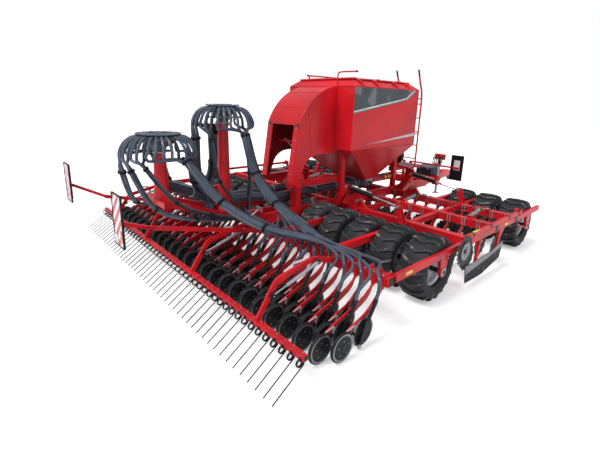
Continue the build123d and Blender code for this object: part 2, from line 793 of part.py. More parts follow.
def mirrored(points, side):
    return [(side * x, y, z) for x, y, z in points]


def side_bundle(place, side):
    """The seed hoses from one head to a wing, strapped together."""
    y, z, r = place
    top = FRAME_Z + BEAM - RAIL_LOW + BUNDLE_R + 0.3
    if place is HEAD_REAR:
        points = [
            (r - 90, y + 60, z - 62), (r + 190, y + 110, z - 70), (620, -2110, 1620),
            (1000, -1950, 1230), (1500, -1640, 1010), (2050, SEED_BAR_Y - 52, top), (2860, SEED_BAR_Y - 52, top),
        ]
    else:
        points = [
            (r - 90, y + 40, z - 62), (r + 250, y + 90, z - 70), (640, -1235, 1780),
            (860, -1200, 1290), (1380, -1130, 960), (2000, SEED_BAR_Y + 52, top), (2860, SEED_BAR_Y + 52, top),
        ]
    return tube(mirrored(points, side), BUNDLE_R, 90, 6) - head(place)


def centre_bundle(place, side):
    """The seed hoses from one head to the centre rows, strapped together."""
    y, z, r = place
    top = FRAME_Z + BEAM - RAIL_LOW + BUNDLE_R + 0.3
    if place is HEAD_REAR:
        points = [
            (60, y - r + 90, z - 62), (100, y - r - 200, z - 70), (190, -2930, 1700),
            (560, -2560, 1180), (740, -1900, 960), (740, SEED_BAR_Y, top),
        ]
    else:
        points = [
            (120, y - r + 90, z - 62), (190, y - r - 160, z - 70), (290, -1800, 1900),
            (420, -1700, 1250), (500, SEED_BAR_Y, top),
        ]
    return tube(mirrored(points, side), BUNDLE_R, 80, 6) - head(place)


def air_pipes():
    """The two fat air lines from the metering housings to the towers."""
    y0 = HOP_OUTLET_Y - METER_HALF - 0.3
    high = PIPE_Z + 20
    right = tube([
        (PIPE_X, y0, PIPE_Z), (PIPE_X, -500, PIPE_Z), (0, -1000, high), (0, HEAD_FRONT[0], high),
    ], PIPE_R, 150, 10)
    left = tube([
        (-PIPE_X, y0, PIPE_Z), (-PIPE_X, -600, PIPE_Z), (-185, -1300, high + 25), (-185, -1700, high + 75),
        (0, HEAD_REAR[0], CARRIER_TOP + 180),
    ], PIPE_R, 150, 10)
    return group(right - tower(HEAD_FRONT, SEED_BAR_Z + 110), left - tower(HEAD_REAR, CARRIER_TOP - 10))


# Fold cylinders

def cylinder_line(side, y):
    """The barrel's eye, the rod's eye and the way from one to the other."""
    eye = Vector(side * BARREL_EYE[0], y, BARREL_EYE[1])
    goal = Vector(side * ROD_EYE[0], y, ROD_EYE[1])
    return eye, goal, (goal - eye).normalized()


def barrels(side):
    """Both barrels of one wing, each on its pin on the centre frame."""
    shapes = []
    for y in FOLD_CYL_Y:
        eye, goal, unit = cylinder_line(side, y)
        body = rod(eye + unit * BARREL_START, eye + unit * BARREL_LONG, BARREL_R, 12)
        body += prism_y(eye.X, y - 18, y + 18, eye.Z, 36, 12)
        body += rod(eye + unit * 24, eye + unit * (BARREL_START + 5), 17, 6)
        body -= rod(eye + unit * (BARREL_START + 18), eye + unit * (BARREL_LONG + 5), bore_outer(ROD_R), 12)
        shapes.append(body - prism_y(eye.X, y - 60, y + 60, eye.Z, bore_outer(CYL_PIN_R), 12))
    return group(*shapes)


def rods(side):
    """Both rods of one wing, their eyes between the wing's lugs."""
    shapes = []
    for y in FOLD_CYL_Y:
        eye, goal, unit = cylinder_line(side, y)
        body = rod(eye + unit * ROD_START, goal - unit * 20, ROD_R, 8)
        shapes.append(body + prism_y(goal.X, y - 18, y + 18, goal.Z, 32, 10))
    return group(*shapes)


# Markers and jack

def marker_arm(side):
    """The marker's arm along the wing's end, on an upright pin."""
    x = side * MARKER_X
    rear = MARKER_DISC_Y
    arm = box(x - 22, x + 22, rear + 60, MARKER_PIN_Y + 40, MARKER_Z - 25, MARKER_Z + 25)
    arm += bar((x, rear + 80, MARKER_Z), (x, rear, MARKER_DISC_Z), 36, 50)
    stub0, stub1 = sorted((x, x + side * 56))
    arm += prism_x(stub0, stub1, rear, MARKER_DISC_Z, MARKER_AXLE_R, 8)
    return arm - prism_z(x, MARKER_PIN_Y, MARKER_Z - 60, MARKER_Z + 60, bore_outer(MARKER_PIN_R), 12)


def prism_z(x, y, z0, z1, r, sides):
    return Pos(x, y, z0) * extrude(RegularPolygon(r, sides), z1 - z0)


def marker_seat(side):
    """The bracket with the marker's upright pin, on the wing's outer rail."""
    x = side * MARKER_X
    x0, x1 = sorted((side * (HALF_WIDTH - 10), side * (MARKER_X + 30)))
    y = MARKER_PIN_Y
    seat = box(x0, x1, y - 35, y + 35, MARKER_Z - 50, MARKER_Z - 30)
    seat += box(x0, x1, y - 35, y + 35, MARKER_Z + 30, MARKER_Z + 50)
    wall0, wall1 = sorted((side * (HALF_WIDTH - 30), side * (HALF_WIDTH - 5)))
    seat += box(wall0, wall1, y - 35, y + 35, FRAME_Z + 60, MARKER_Z + 50)
    return seat + prism_z(x, y, MARKER_Z - 45, MARKER_Z + 45, MARKER_PIN_R, 8)


def marker_disc(side):
    near = side * (MARKER_X + 27)
    x0, x1 = sorted((near, near + side * 8))
    y, z = MARKER_DISC_Y, MARKER_DISC_Z
    disc = prism_x(x0, x1, y, z, MARKER_R, 14)
    x0, x1 = sorted((near, near + side * 26))
    disc += prism_x(x0, x1, y, z, MARKER_R * 0.6, 12)
    return disc - prism_x(x0 - 20, x1 + 20, y, z, bore_outer(MARKER_AXLE_R), 12)


def side_plate(side):
    """The soil guard outside the tillage discs, on two adjusting arms."""
    x = HALF_WIDTH - 6
    outline = [(720, 60), (660, 330), (1500, 340), (1990, 420), (1930, 150), (1300, 40)]
    x0, x1 = sorted((side * x, side * (x + 6)))
    plate = plate_x(outline, x0, x1)
    for y in (1020, 1760):
        plate += bar((side * (x - 16), y + 60, FRAME_Z + 30), (side * (x - 16), y, 210), 36, 50)
    return plate


def jack_leg():
    x, y = JACK_X, JACK_Y
    leg = prism_z(x, y, JACK_FOOT + 12, JACK_FOOT + 720, JACK_R, 8)
    return leg + prism_z(x, y, JACK_FOOT, JACK_FOOT + 12, 90, 12)


def front_boards_carrier():
    body = None
    for s in (-1, 1):
        post = box(s * 90 - 25, s * 90 + 25, FRONT_BAR_Y - 30, FRONT_BAR_Y + 27.7, RAIL_TOP - 10, FRONT_BOARD_Z + 20)
        arm = box(s * 90, s * (FRONT_BOARD_X + 60), FRONT_BAR_Y - 12, FRONT_BAR_Y + 27.7, FRONT_BOARD_Z - 15, FRONT_BOARD_Z + 20)
        both = post + arm
        body = both if body is None else body + both
    return body


def toolbox():
    low = DRAWBAR_Z + DRAWBAR_H / 2 + DECK_T
    x, y = TOOLBOX_X, TOOLBOX_Y
    return box(x - 210, x + 210, y - 190, y + 190, low, low + TOOLBOX_H)


def coupler_rack():
    """The stand on the drawbar where the line couplings are parked."""
    low = DRAWBAR_Z + DRAWBAR_H / 2
    y = RACK_Y
    rack = box(RACK_X - 25, RACK_X + 25, y - 25, y + 25, low, RACK_TOP - 60)
    return rack + box(RACK_X - 150, RACK_X + 150, y - 6, y + 6, RACK_TOP - 150, RACK_TOP)


def main():
    os.makedirs("parts", exist_ok=True)
    one, wheel = tyre(), rim()
    for name, side in SIDES.items():
        packer("rear_" + name, side, REAR_PACKER_Y, one, wheel)
        if side:
            packer("front_" + name, side, FRONT_PACKER_Y, one, wheel)
            save("wing_frame_" + name, wing_frame(side))
            save("fold_barrels_" + name, barrels(side))
            save("fold_rods_" + name, rods(side))
            save("marker_arm_" + name, marker_arm(side))
            save("marker_disc_" + name, marker_disc(side))
            save("hoses_" + name, group(side_bundle(HEAD_REAR, side), side_bundle(HEAD_FRONT, side)))
        save("tillage_discs_" + name, till_discs(side))
        save("coulter_bar_" + name, coulter_bar(side))
        save("opener_discs_" + name, openers(side))
        save("press_wheels_front_" + name, press_wheels(side, 0))
        save("press_wheels_rear_" + name, press_wheels(side, 1))
        save("harrow_beam_" + name, harrow_beam(side))
        save("harrow_tines_" + name, tines(side))
    centre = [centre_bundle(place, side) for place in (HEAD_REAR, HEAD_FRONT) for side in (-1, 1)]
    save("hoses_centre", group(*centre))
    save("centre_frame", centre_frame())
    save("tow_eye", tow_eye())
    save("hopper", hopper())
    save("hopper_lid", lid())
    save("rear_hood", hood())
    save("ladder", ladder())
    save("fan", fan())
    save("metering_units", metering())
    save("distributor_heads", group(head(HEAD_REAR), head(HEAD_FRONT)))
    save("distributor_towers", group(rear_carrier(), *board_arms()))
    save("warning_boards", boards())
    save("air_pipes", air_pipes())
    save("toolbox", toolbox())
    save("coupler_rack", coupler_rack())
    save("jack_leg", jack_leg())


if __name__ == "__main__":
    main()
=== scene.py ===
"""Looks of a folding seed drill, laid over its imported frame."""

from math import atan2, cos, pi, radians, sin, sqrt

import bmesh
import bpy
import numpy as np
from mathutils import Matrix, Vector


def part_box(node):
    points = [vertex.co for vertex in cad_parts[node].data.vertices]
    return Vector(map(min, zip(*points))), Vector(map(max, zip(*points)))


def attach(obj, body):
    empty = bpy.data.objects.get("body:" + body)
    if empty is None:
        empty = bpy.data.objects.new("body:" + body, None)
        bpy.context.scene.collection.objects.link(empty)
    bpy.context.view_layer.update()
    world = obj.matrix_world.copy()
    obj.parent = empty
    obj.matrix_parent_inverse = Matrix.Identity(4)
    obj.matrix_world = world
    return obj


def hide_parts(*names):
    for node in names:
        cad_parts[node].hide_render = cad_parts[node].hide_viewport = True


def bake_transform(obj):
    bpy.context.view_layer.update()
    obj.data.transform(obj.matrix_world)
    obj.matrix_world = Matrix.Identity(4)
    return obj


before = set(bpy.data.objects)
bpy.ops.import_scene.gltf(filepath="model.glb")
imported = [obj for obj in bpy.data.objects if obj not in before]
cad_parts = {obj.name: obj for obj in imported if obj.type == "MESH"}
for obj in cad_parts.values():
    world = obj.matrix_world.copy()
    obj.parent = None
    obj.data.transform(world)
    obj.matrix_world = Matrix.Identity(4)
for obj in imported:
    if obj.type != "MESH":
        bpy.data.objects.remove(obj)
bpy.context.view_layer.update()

bl_info = {
    "name": "Folding seed drill looks",
    "version": (1, 0, 0),
    "blender": (4, 5, 0),
    "location": "View3D > Sidebar > Drill",
    "description": "Builds the looks of a folding seed drill over its frame",
    "category": "Object",
}

# Y of the rear packer's axle in the frame; every length below is counted from it.
AXLE_Y = sum(corner[1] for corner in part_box("tyres_rear_centre")) / 2
SIDES = {"centre": 0, "right": 1, "left": -1}
WINGS = ((1, "right"), (-1, "left"))


# Finishes

def srgb(code):
    """Linear colour of an sRGB hex code."""
    parts = [int(code[k:k + 2], 16) / 255 for k in (0, 2, 4)]
    return [c / 12.92 if c < 0.04045 else ((c + 0.055) / 1.055) ** 2.4 for c in parts] + [1.0]


def hex_code(colour):
    """The sRGB hex code of a linear colour."""
    parts = [c * 12.92 if c < 0.0031308 else 1.055 * c ** (1 / 2.4) - 0.055 for c in colour]
    return "".join("%02x" % round(255 * c) for c in parts)


def add(tree, kind, ins=(), **settings):
    """Adds a node with its settings; ins maps an input to a value or to another node's output."""
    made = tree.nodes.new(kind)
    for key, value in settings.items():
        setattr(made, key, value)
    for key, value in dict(ins).items():
        if isinstance(value, bpy.types.NodeSocket):
            tree.links.new(value, made.inputs[key])
        else:
            made.inputs[key].default_value = value
    return made


def ramp(tree, factor, stops, mode="LINEAR"):
    """Colours along a factor; stops are (place, hex) pairs."""
    made = add(tree, "ShaderNodeValToRGB", {"Fac": factor})
    made.color_ramp.interpolation = mode
    marks = made.color_ramp.elements
    while len(marks) < len(stops):
        marks.new(0.5)
    for mark, (place, colour) in zip(marks, stops):
        mark.position = place
        mark.color = srgb(colour)
    return made.outputs["Color"]


def shaded(code, share):
    """An sRGB hex code made darker or lighter by a share."""
    return "".join("%02x" % min(255, int(int(code[k:k + 2], 16) * share)) for k in (0, 2, 4))


def finish(name, code, rough, metal=0.0, coat=0.0, patch=300.0, dust=None, share=0.3, grain=12.0, depth=0.0,
        rings=0.0):
    """A finish: patches of shade so many mm across, dust on a share of it, a grain and rings in mm."""
    mat = bpy.data.materials.new(name)
    mat.use_nodes = True
    tree = mat.node_tree
    shader = tree.nodes["Principled BSDF"]
    shader.inputs["Metallic"].default_value = metal
    shader.inputs["Coat Weight"].default_value = coat
    shader.inputs["Coat Roughness"].default_value = 0.1
    shader.inputs["Specular IOR Level"].default_value = 0.28
    place = add(tree, "ShaderNodeTexCoord").outputs["Object"]
    broad = add(tree, "ShaderNodeTexNoise", {"Vector": place, "Scale": 1000 / patch, "Detail": 5.0}).outputs["Fac"]
    stops = [(0.35, shaded(code, 0.86)), (0.6, code)]
    if dust:
        stops.append((1.0 - share, dust))
    tree.links.new(ramp(tree, broad, stops), shader.inputs["Base Color"])
    fine = add(tree, "ShaderNodeTexNoise", {"Vector": place, "Scale": 1000 / grain, "Detail": 3.0}).outputs["Fac"]
    worn = add(tree, "ShaderNodeMapRange", {"Value": fine, "To Min": max(0.04, rough - 0.08),
            "To Max": min(1.0, rough + 0.1)})
    tree.links.new(worn.outputs["Result"], shader.inputs["Roughness"])
    height = fine if depth else None
    if rings:
        run = add(tree, "ShaderNodeUVMap").outputs["UV"]
        height = add(tree, "ShaderNodeTexWave", {"Vector": run, "Scale": 314 / rings},
                bands_direction="Y").outputs["Fac"]
    if height is not None:
        bump = add(tree, "ShaderNodeBump", {"Height": height, "Strength": 0.7,
                "Distance": (depth or rings * 0.25) / 1000})
        tree.links.new(bump.outputs["Normal"], shader.inputs["Normal"])
    return mat


def striped(name, one, two, width):
    """Reflective film in diagonal stripes that fall away from the middle of the drill."""
    mat = finish(name, one, 0.3, coat=0.4)
    tree = mat.node_tree
    split = add(tree, "ShaderNodeSeparateXYZ", {0: add(tree, "ShaderNodeTexCoord").outputs["Object"]})
    side = add(tree, "ShaderNodeMath", {0: split.outputs["X"]}, operation="ABSOLUTE")
    sum_ = add(tree, "ShaderNodeMath", {0: split.outputs["Z"], 1: side.outputs[0]}, operation="SUBTRACT")
    share = add(tree, "ShaderNodeMath", {0: sum_.outputs[0], 1: width * 2}, operation="DIVIDE")
    part = add(tree, "ShaderNodeMath", {0: share.outputs[0]}, operation="FRACT")
    colour = ramp(tree, part.outputs[0], [(0.0, one), (0.5, two)], "CONSTANT")
    tree.links.new(colour, tree.nodes["Principled BSDF"].inputs["Base Color"])
    return mat


MATS = {}


def make_finishes(sizes):
    """Every finish on the drill, under the short name that the pieces use."""
    paint = hex_code(sizes.paint)
    MATS.update({
        # Enamel sprayed on tube and plate: a deep red under a thin clear shine
        "red": finish("enamel_red_steel", shaded(paint, 0.97), 0.38, coat=0.12, patch=420, dust=shaded(paint, 1.05),
                share=0.25),
        # Enamel on the hopper's large sheets: a little smoother, with broad even patches
        "hopper": finish("enamel_red_sheet", paint, 0.32, coat=0.16, patch=900),
        # The hood's inside: the enamel made darker as painted shade under the hood, dull, with paler patches of
        # seed dust
        "inside": finish("painted_shade_red_inside_with_dust", "860d18", 0.55, patch=160, dust="9c3a38", share=0.3),
        # Ribbed agricultural rubber, dark and slightly chalky
        "tyre": finish("agricultural_rubber", "2d2e32", 0.6, patch=90, dust="48494c", share=0.28, grain=5,
                depth=0.4),
        # The same rubber with dry soil on it
        "dusty": finish("soiled_rubber", "424244", 0.78, patch=110, dust="7b766d", share=0.45, grain=6, depth=0.8),
        # Silver paint on pressed wheel rims
        "rim": finish("silver_painted_rim", "c8ccd4", 0.32, metal=0.3, coat=0.3, patch=160),
        # Hardened disc steel, browned and rubbed by soil
        "disc": finish("soil_worn_disc_steel", "2a2b2f", 0.4, metal=0.5, patch=60, dust="45413d", share=0.35,
                grain=4, depth=0.2),
        # Smooth rubber of the press wheels
        "press": finish("press_wheel_rubber", "1a1b1e", 0.5, patch=80, dust="2a2b2d", share=0.3, grain=4,
                depth=0.2),
        # Steel rubbed bright on rims, edges and scrapers
        "edge": finish("rubbed_bright_steel", "96989b", 0.34, metal=0.75, patch=40, dust="6b6a68", share=0.3),
        # Spring steel with a black coat
        "tine": finish("black_spring_steel", "2c2f36", 0.36, metal=0.5, patch=60),
        # Ribbed seed hose, blue grey with a soft shine
        "hose": finish("ribbed_seed_hose", "515b6b", 0.36, coat=0.25, patch=120, rings=9),
        "hose_dark": finish("ribbed_dark_hose", "2a2e36", 0.4, coat=0.2, patch=120, rings=9),
        # Wide air duct wound with a rib
        "pipe": finish("ribbed_air_duct", "3e4654", 0.36, coat=0.3, patch=160, rings=22),
        # Moulded black plastic with a fine grain
        "black": finish("moulded_black_plastic", "17181b", 0.42, patch=120, grain=2, depth=0.15),
        "grey": finish("moulded_grey_plastic", "5b646f", 0.46, patch=140, grain=3, depth=0.2),
        # Zinc dipped steel with its cloudy bloom
        "zinc": finish("galvanised_steel", "bcbfc3", 0.36, metal=0.7, patch=25, dust="9a9da2", share=0.35),
        "chrome": finish("chromed_rod", "e4e6e9", 0.1, metal=1.0, patch=200),
        # Film and plates without any words on them
        "white": finish("bare_white_plate", "e8e9eb", 0.4, patch=200),
        "panel": finish("grey_film", "4b5257", 0.26, coat=0.5, patch=420, dust="737b80", share=0.42),
        "teal": finish("teal_line_film", "1b9986", 0.32, coat=0.4),
        "silver": finish("silver_stripe_film", "d5dae0", 0.3, metal=0.2, coat=0.3),
        "yellow": finish("yellow_reflector", "f4d41c", 0.22, coat=0.6, patch=60),
        "orange": finish("orange_lamp_lens", "ff7c14", 0.18, coat=0.8, patch=60),
        "lamp": finish("red_lamp_lens", "d3130f", 0.18, coat=0.8, patch=60),
        "soil": finish("soiled_guard_steel", "33373a", 0.6, metal=0.3, patch=130, dust="6f675a", share=0.42,
                grain=6, depth=0.4),
        "brass": finish("brass_fitting", "b98f45", 0.34, metal=0.85, patch=30),
        "warn": striped("red_white_film", "e9eaec", "d01018", sizes.stripe),
    })


# Mesh shapes, in metres, Y counted from the rear packer's axle

class Shape:
    """Collects points, faces, material numbers and a length along each tube."""

    def __init__(self):
        self.points, self.faces, self.marks, self.runs = [], [], [], []

    def add(self, points, faces, mark=0, runs=None):
        """Adds points and faces; mark is one material number, or a list with one for each face."""
        start = len(self.points)
        self.points.extend([tuple(p) for p in points])
        self.runs.extend(runs if runs is not None else [(0.0, 0.0)] * len(points))
        self.faces.extend([tuple(k + start for k in face) for face in faces])
        self.marks.extend(mark if isinstance(mark, list) else [mark] * len(faces))

    def join(self, other, matrix):
        """Adds another shape, moved by a matrix."""
        self.add([matrix @ Vector(p) for p in other.points], other.faces, other.marks, other.runs)

    def block(self, low, high, mark=0, cut=0.004):
        """A block with its edges cut by a small bevel."""
        mid = [(a + b) / 2 for a, b in zip(low, high)]
        half = [abs(b - a) / 2 for a, b in zip(low, high)]
        self.join(beam_shape(half, cut, mark), Matrix.Translation(mid))

    def bar(self, p, q, wide, high, mark=0, cut=0.003, up=(0, 0, 1)):
        """A bevelled bar from p to q, so wide across and so high."""
        a, b = Vector(p), Vector(q)
        way = (b - a).normalized()
        side = way.cross(Vector(up))
        if side.length < 1e-4:
            side = way.cross(Vector((0, 1, 0)))
        side.normalize()
        top = side.cross(way)
        turn = Matrix((side, way, top)).transposed().to_4x4()
        turn.translation = (a + b) / 2
        self.join(beam_shape([wide / 2, (b - a).length / 2, high / 2], cut, mark), turn)

    def tube(self, path, radius, sides=8, mark=0, caps=True):
        """A round tube along points; radius is one value or one for each point."""
        path = [Vector(p) for p in path]
        radii = radius if isinstance(radius, (list, tuple)) else [radius] * len(path)
        rings, runs, far = [], [], 0.0
        normal = None
        for k, p in enumerate(path):
            ahead = path[min(k + 1, len(path) - 1)] - path[max(k - 1, 0)]
            ahead.normalize()
            if normal is None:
                normal = ahead.orthogonal().normalized()
            normal = (normal - ahead * normal.dot(ahead)).normalized()
            other = ahead.cross(normal)
            far += (p - path[k - 1]).length if k else 0.0
            for s in range(sides):
                angle = 2 * pi * s / sides
                rings.append(p + (normal * cos(angle) + other * sin(angle)) * radii[k])
                runs.append((s / sides, far))
        faces = []
        for k in range(len(path) - 1):
            for s in range(sides):
                t = (s + 1) % sides
                faces.append((k * sides + s, k * sides + t, (k + 1) * sides + t, (k + 1) * sides + s))
        if caps:
            faces.append(tuple(reversed(range(sides))))
            last = (len(path) - 1) * sides
            faces.append(tuple(range(last, last + sides)))
        self.add(rings, faces, mark, runs)

    def lathe(self, profile, centre, axis=(1, 0, 0), segs=32, mark=0, marks=None):
        """A turned form; profile holds (along the axis, radius) pairs."""
        axis = Vector(axis).normalized()
        one = axis.orthogonal().normalized()
        two = axis.cross(one)
        centre = Vector(centre)
        points = []
        for along, r in profile:
            for s in range(segs):
                angle = 2 * pi * s / segs
                points.append(centre + axis * along + (one * cos(angle) + two * sin(angle)) * r)
        faces, numbers = [], []
        for k in range(len(profile) - 1):
            for s in range(segs):
                t = (s + 1) % segs
                faces.append((k * segs + s, (k + 1) * segs + s, (k + 1) * segs + t, k * segs + t))
            numbers += [marks[k] if marks else mark] * segs
        self.add(points, faces, numbers)

    def plate(self, outline, x0, x1, mark=0, plane="x"):
        """A flat plate cut to an outline of (y, z) pairs, or (x, z) or (x, y)."""
        order = {"x": lambda c, a, b: (c, a, b), "y": lambda c, a, b: (a, c, b), "z": lambda c, a,
                b: (a, b, c)}[plane]
        n = len(outline)
        points = [order(x0, a, b) for a, b in outline] + [order(x1, a, b) for a, b in outline]
        faces = [tuple(reversed(range(n))), tuple(range(n, 2 * n))]
        for k in range(n):
            t = (k + 1) % n
            faces.append((k, t, n + t, n + k))
        self.add(points, faces, mark)

    def bolt(self, centre, axis, r=0.012, high=0.01, mark=0):
        """A hexagon head standing on a surface."""
        self.lathe([(0, r), (high, r), (high, 0)], centre, axis, 6, mark)

    def bolts(self, centre, axis, across, count, r, high, mark, turn=0.0):
        """Bolts on a circle of radius across; the axis is along x, y or z."""
        u, v = [k for k in range(3) if not axis[k]]
        for k in range(count):
            angle = 2 * pi * k / count + turn
            spot = list(centre)
            spot[u] += across * cos(angle)
            spot[v] += across * sin(angle)
            self.bolt(spot, axis, r, high, mark)

    def piece(self, name, mats, body, smooth=35, replaces=(), slot=None):
        """Makes the object, moved from the drill's lengths to the frame."""
        mesh = bpy.data.meshes.new(name)
        mesh.from_pydata([(x, y + AXLE_Y, z) for x, y, z in self.points], [], self.faces)
        for key in mats:
            mesh.materials.append(MATS[key])
        mesh.polygons.foreach_set("material_index", self.marks)
        layer = mesh.uv_layers.new(name="UVMap")
        index = np.empty(len(mesh.loops), dtype=np.int32)
        mesh.loops.foreach_get("vertex_index", index)
        layer.data.foreach_set("uv", np.array(self.runs, dtype=np.float32)[index].ravel())
        tidy = bmesh.new()
        tidy.from_mesh(mesh)
        bmesh.ops.recalc_face_normals(tidy, faces=tidy.faces)
        tidy.to_mesh(mesh)
        tidy.free()
        mesh.polygons.foreach_set("use_smooth", [True] * len(mesh.polygons))
        mesh.set_sharp_from_angle(angle=radians(smooth))
        obj = bpy.data.objects.new(name, mesh)
        bpy.context.scene.collection.objects.link(obj)
        if body:
            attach(obj, body)
        if replaces:
            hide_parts(*replaces)
        return obj


def beam_shape(half, cut, mark):
    """A block about the origin with bevelled edges."""
    shape = Shape()
    cut = min(cut, *(h * 0.6 for h in half))
    points, where = [], {}
    for sx in (-1, 1):
        for sy in (-1, 1):
            for sz in (-1, 1):
                for axis in range(3):
                    p = [sx * (half[0] - cut), sy * (half[1] - cut), sz * (half[2] - cut)]
                    p[axis] = (sx, sy, sz)[axis] * half[axis]
                    where[(sx, sy, sz, axis)] = len(points)
                    points.append(p)
    faces = []
    for axis in range(3):
        a, b = [k for k in range(3) if k != axis]
        for s in (-1, 1):
            ring = []
            for u, v in ((-1, -1), (1, -1), (1, 1), (-1, 1)):
                key = [0, 0, 0]
                key[axis], key[a], key[b] = s, u, v
                ring.append(where[(*key, axis)])
            faces.append(tuple(ring))
    for axis in range(3):
        a, b = [k for k in range(3) if k != axis]
        for u in (-1, 1):
            for v in (-1, 1):
                keys = []
                for s in (-1, 1):
                    key = [0, 0, 0]
                    key[axis], key[a], key[b] = s, u, v
                    keys.append(tuple(key))
                faces.append((where[(*keys[0], a)], where[(*keys[1], a)], where[(*keys[1], b)],
                        where[(*keys[0], b)]))
    for sx in (-1, 1):
        for sy in (-1, 1):
            for sz in (-1, 1):
                faces.append(tuple(where[(sx, sy, sz, axis)] for axis in range(3)))
    shape.add(points, faces, mark)
    return shape


def smooth_path(points, step=0.05):
    """A rounded way through the points."""
    pts = [Vector(p) for p in points]
    pts = [pts[0] * 2 - pts[1]] + pts + [pts[-1] * 2 - pts[-2]]
    out = []
    for k in range(1, len(pts) - 2):
        a, b, c, d = pts[k - 1:k + 3]
        count = max(2, int((c - b).length / step))
        for s in range(count):
            t = s / count
            bend, twist = 2 * a - 5 * b + 4 * c - d, 3 * b - a - 3 * c + d
            out.append(0.5 * ((2 * b) + (c - a) * t + bend * t * t + twist * t ** 3))
    out.append(pts[-2])
    return out


def spread(name, shape, places, mats, body, replaces=()):
    """Repeats one shape at many places with geometry nodes and makes the result a plain mesh."""
    source = shape.piece(name + "_one", mats, None)
    source.data.transform(Matrix.Translation((0, -AXLE_Y, 0)))
    dots = bpy.data.meshes.new(name + "_places")
    dots.from_pydata([(x, y + AXLE_Y, z) for x, y, z in places], [], [])
    holder = bpy.data.objects.new(name + "_places", dots)
    bpy.context.scene.collection.objects.link(holder)
    tree = bpy.data.node_groups.new(name + "_repeat", "GeometryNodeTree")
    tree.interface.new_socket("Places", in_out="INPUT", socket_type="NodeSocketGeometry")
    item = tree.interface.new_socket("Item", in_out="INPUT", socket_type="NodeSocketObject")
    size = tree.interface.new_socket("Size", in_out="INPUT", socket_type="NodeSocketFloat")
    tree.interface.new_socket("Geometry", in_out="OUTPUT", socket_type="NodeSocketGeometry")
    start = add(tree, "NodeGroupInput")
    info = add(tree, "GeometryNodeObjectInfo", {"Object": start.outputs["Item"]})
    place = add(tree, "GeometryNodeInstanceOnPoints", {
        "Points": start.outputs["Places"], "Instance": info.outputs["Geometry"], "Scale": start.outputs["Size"],
    })
    last = add(tree, "GeometryNodeRealizeInstances", {"Geometry": place.outputs["Instances"]}).outputs[0]
    index = add(tree, "GeometryNodeInputMaterialIndex").outputs[0]
    for k, key in enumerate(mats):
        same = add(tree, "FunctionNodeCompare", {2: index, 3: k}, data_type="INT", operation="EQUAL")
        last = add(tree, "GeometryNodeSetMaterial", {
            "Geometry": last, "Selection": same.outputs[0], "Material": MATS[key],
        }).outputs[0]
    add(tree, "NodeGroupOutput", {0: last})
    modifier = holder.modifiers.new("repeat", "NODES")
    modifier.node_group = tree
    modifier[item.identifier] = source
    modifier[size.identifier] = 1.0
    bpy.context.view_layer.update()
    mesh = bpy.data.meshes.new_from_object(holder.evaluated_get(bpy.context.evaluated_depsgraph_get()))
    mesh.name = name
    obj = bpy.data.objects.new(name, mesh)
    bpy.context.scene.collection.objects.link(obj)
    bpy.data.objects.remove(holder)
    bpy.data.objects.remove(source)
    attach(obj, body)
    if replaces:
        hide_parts(*replaces)
    return obj


# Where things stand, in metres, Y from the rear packer's axle

ROW = 0.125
TYRE_Z = 0.45
FRONT_Y = 3.12
BAR_Y, BAR_Z = -1.16, 0.673
OPENER_Y, OPENER_Z = (-1.52, -1.705), 0.182
PRESS_Y, PRESS_Z = (-1.885, -2.07), 0.168
ARM_OFF = 0.029
HARROW_Y, HARROW_Z = -2.43, 0.33
TINE_TIP = (-2.79, 0.014)
HEADS = {"rear": (-2.45, 2.11, 0.298), "front": (-1.45, 2.49, 0.25)}
BUNDLE_Z = 0.794
HOSE_PITCH = 0.041
TILL_Y, TILL_Z, TILL_PITCH = (2.06, 1.27), 0.24, 0.25
CROSS_Y = (0.70, 1.64, 2.45)
FOLD_Y = (0.545, 2.59)
BARREL_EYE, ROD_EYE = (0.84, 1.12), (1.9, 0.985)
HOOD_HALF, HOOD_FOOT, HOOD_EDGE = 0.42, (-0.40, 1.24), 0.292
AXLE_OVER = 0.225
BOARD = (0.282, 0.564, 0.024)
MARKER_X, MARKER_Y, MARKER_Z = 3.077, 0.36, 0.68


def rows(side):
    """X of every seed row of a section, from left to right."""
    right = [ROW * (k + 0.5) for k in range(24)]
    if side == 0:
        return sorted([-x for x in right[:8]] + right[:8])
    return sorted(side * x for x in right[8:])


def row_of(x):
    """0 where a row's opener is in the front rank, 1 where it is in the rear one."""
    even = round(abs(x) / ROW - 0.5) % 2 == 1
    return 0 if even == (x > 0) else 1


def tyre_xs(side, y):
    """X of every packer tyre of a section, on the front or the rear axle."""
    right = [0.5 * (k + 0.5) for k in range(6)]
    if y > 1:
        return sorted(side * x for x in right[3:])
    if side == 0:
        return [-right[1], -right[0], right[0], right[1]]
    return sorted(side * x for x in right[2:])


def beam_ends(side):
    """Left and right end of a section's seed bar and harrow beam."""
    return (-.988, .988) if side == 0 else sorted((side * 1.012, side * 2.98))


def body_name(side):
    """The body that carries a section."""
    return {0: "frame", 1: "wing_right", -1: "wing_left"}[side]


# Packers

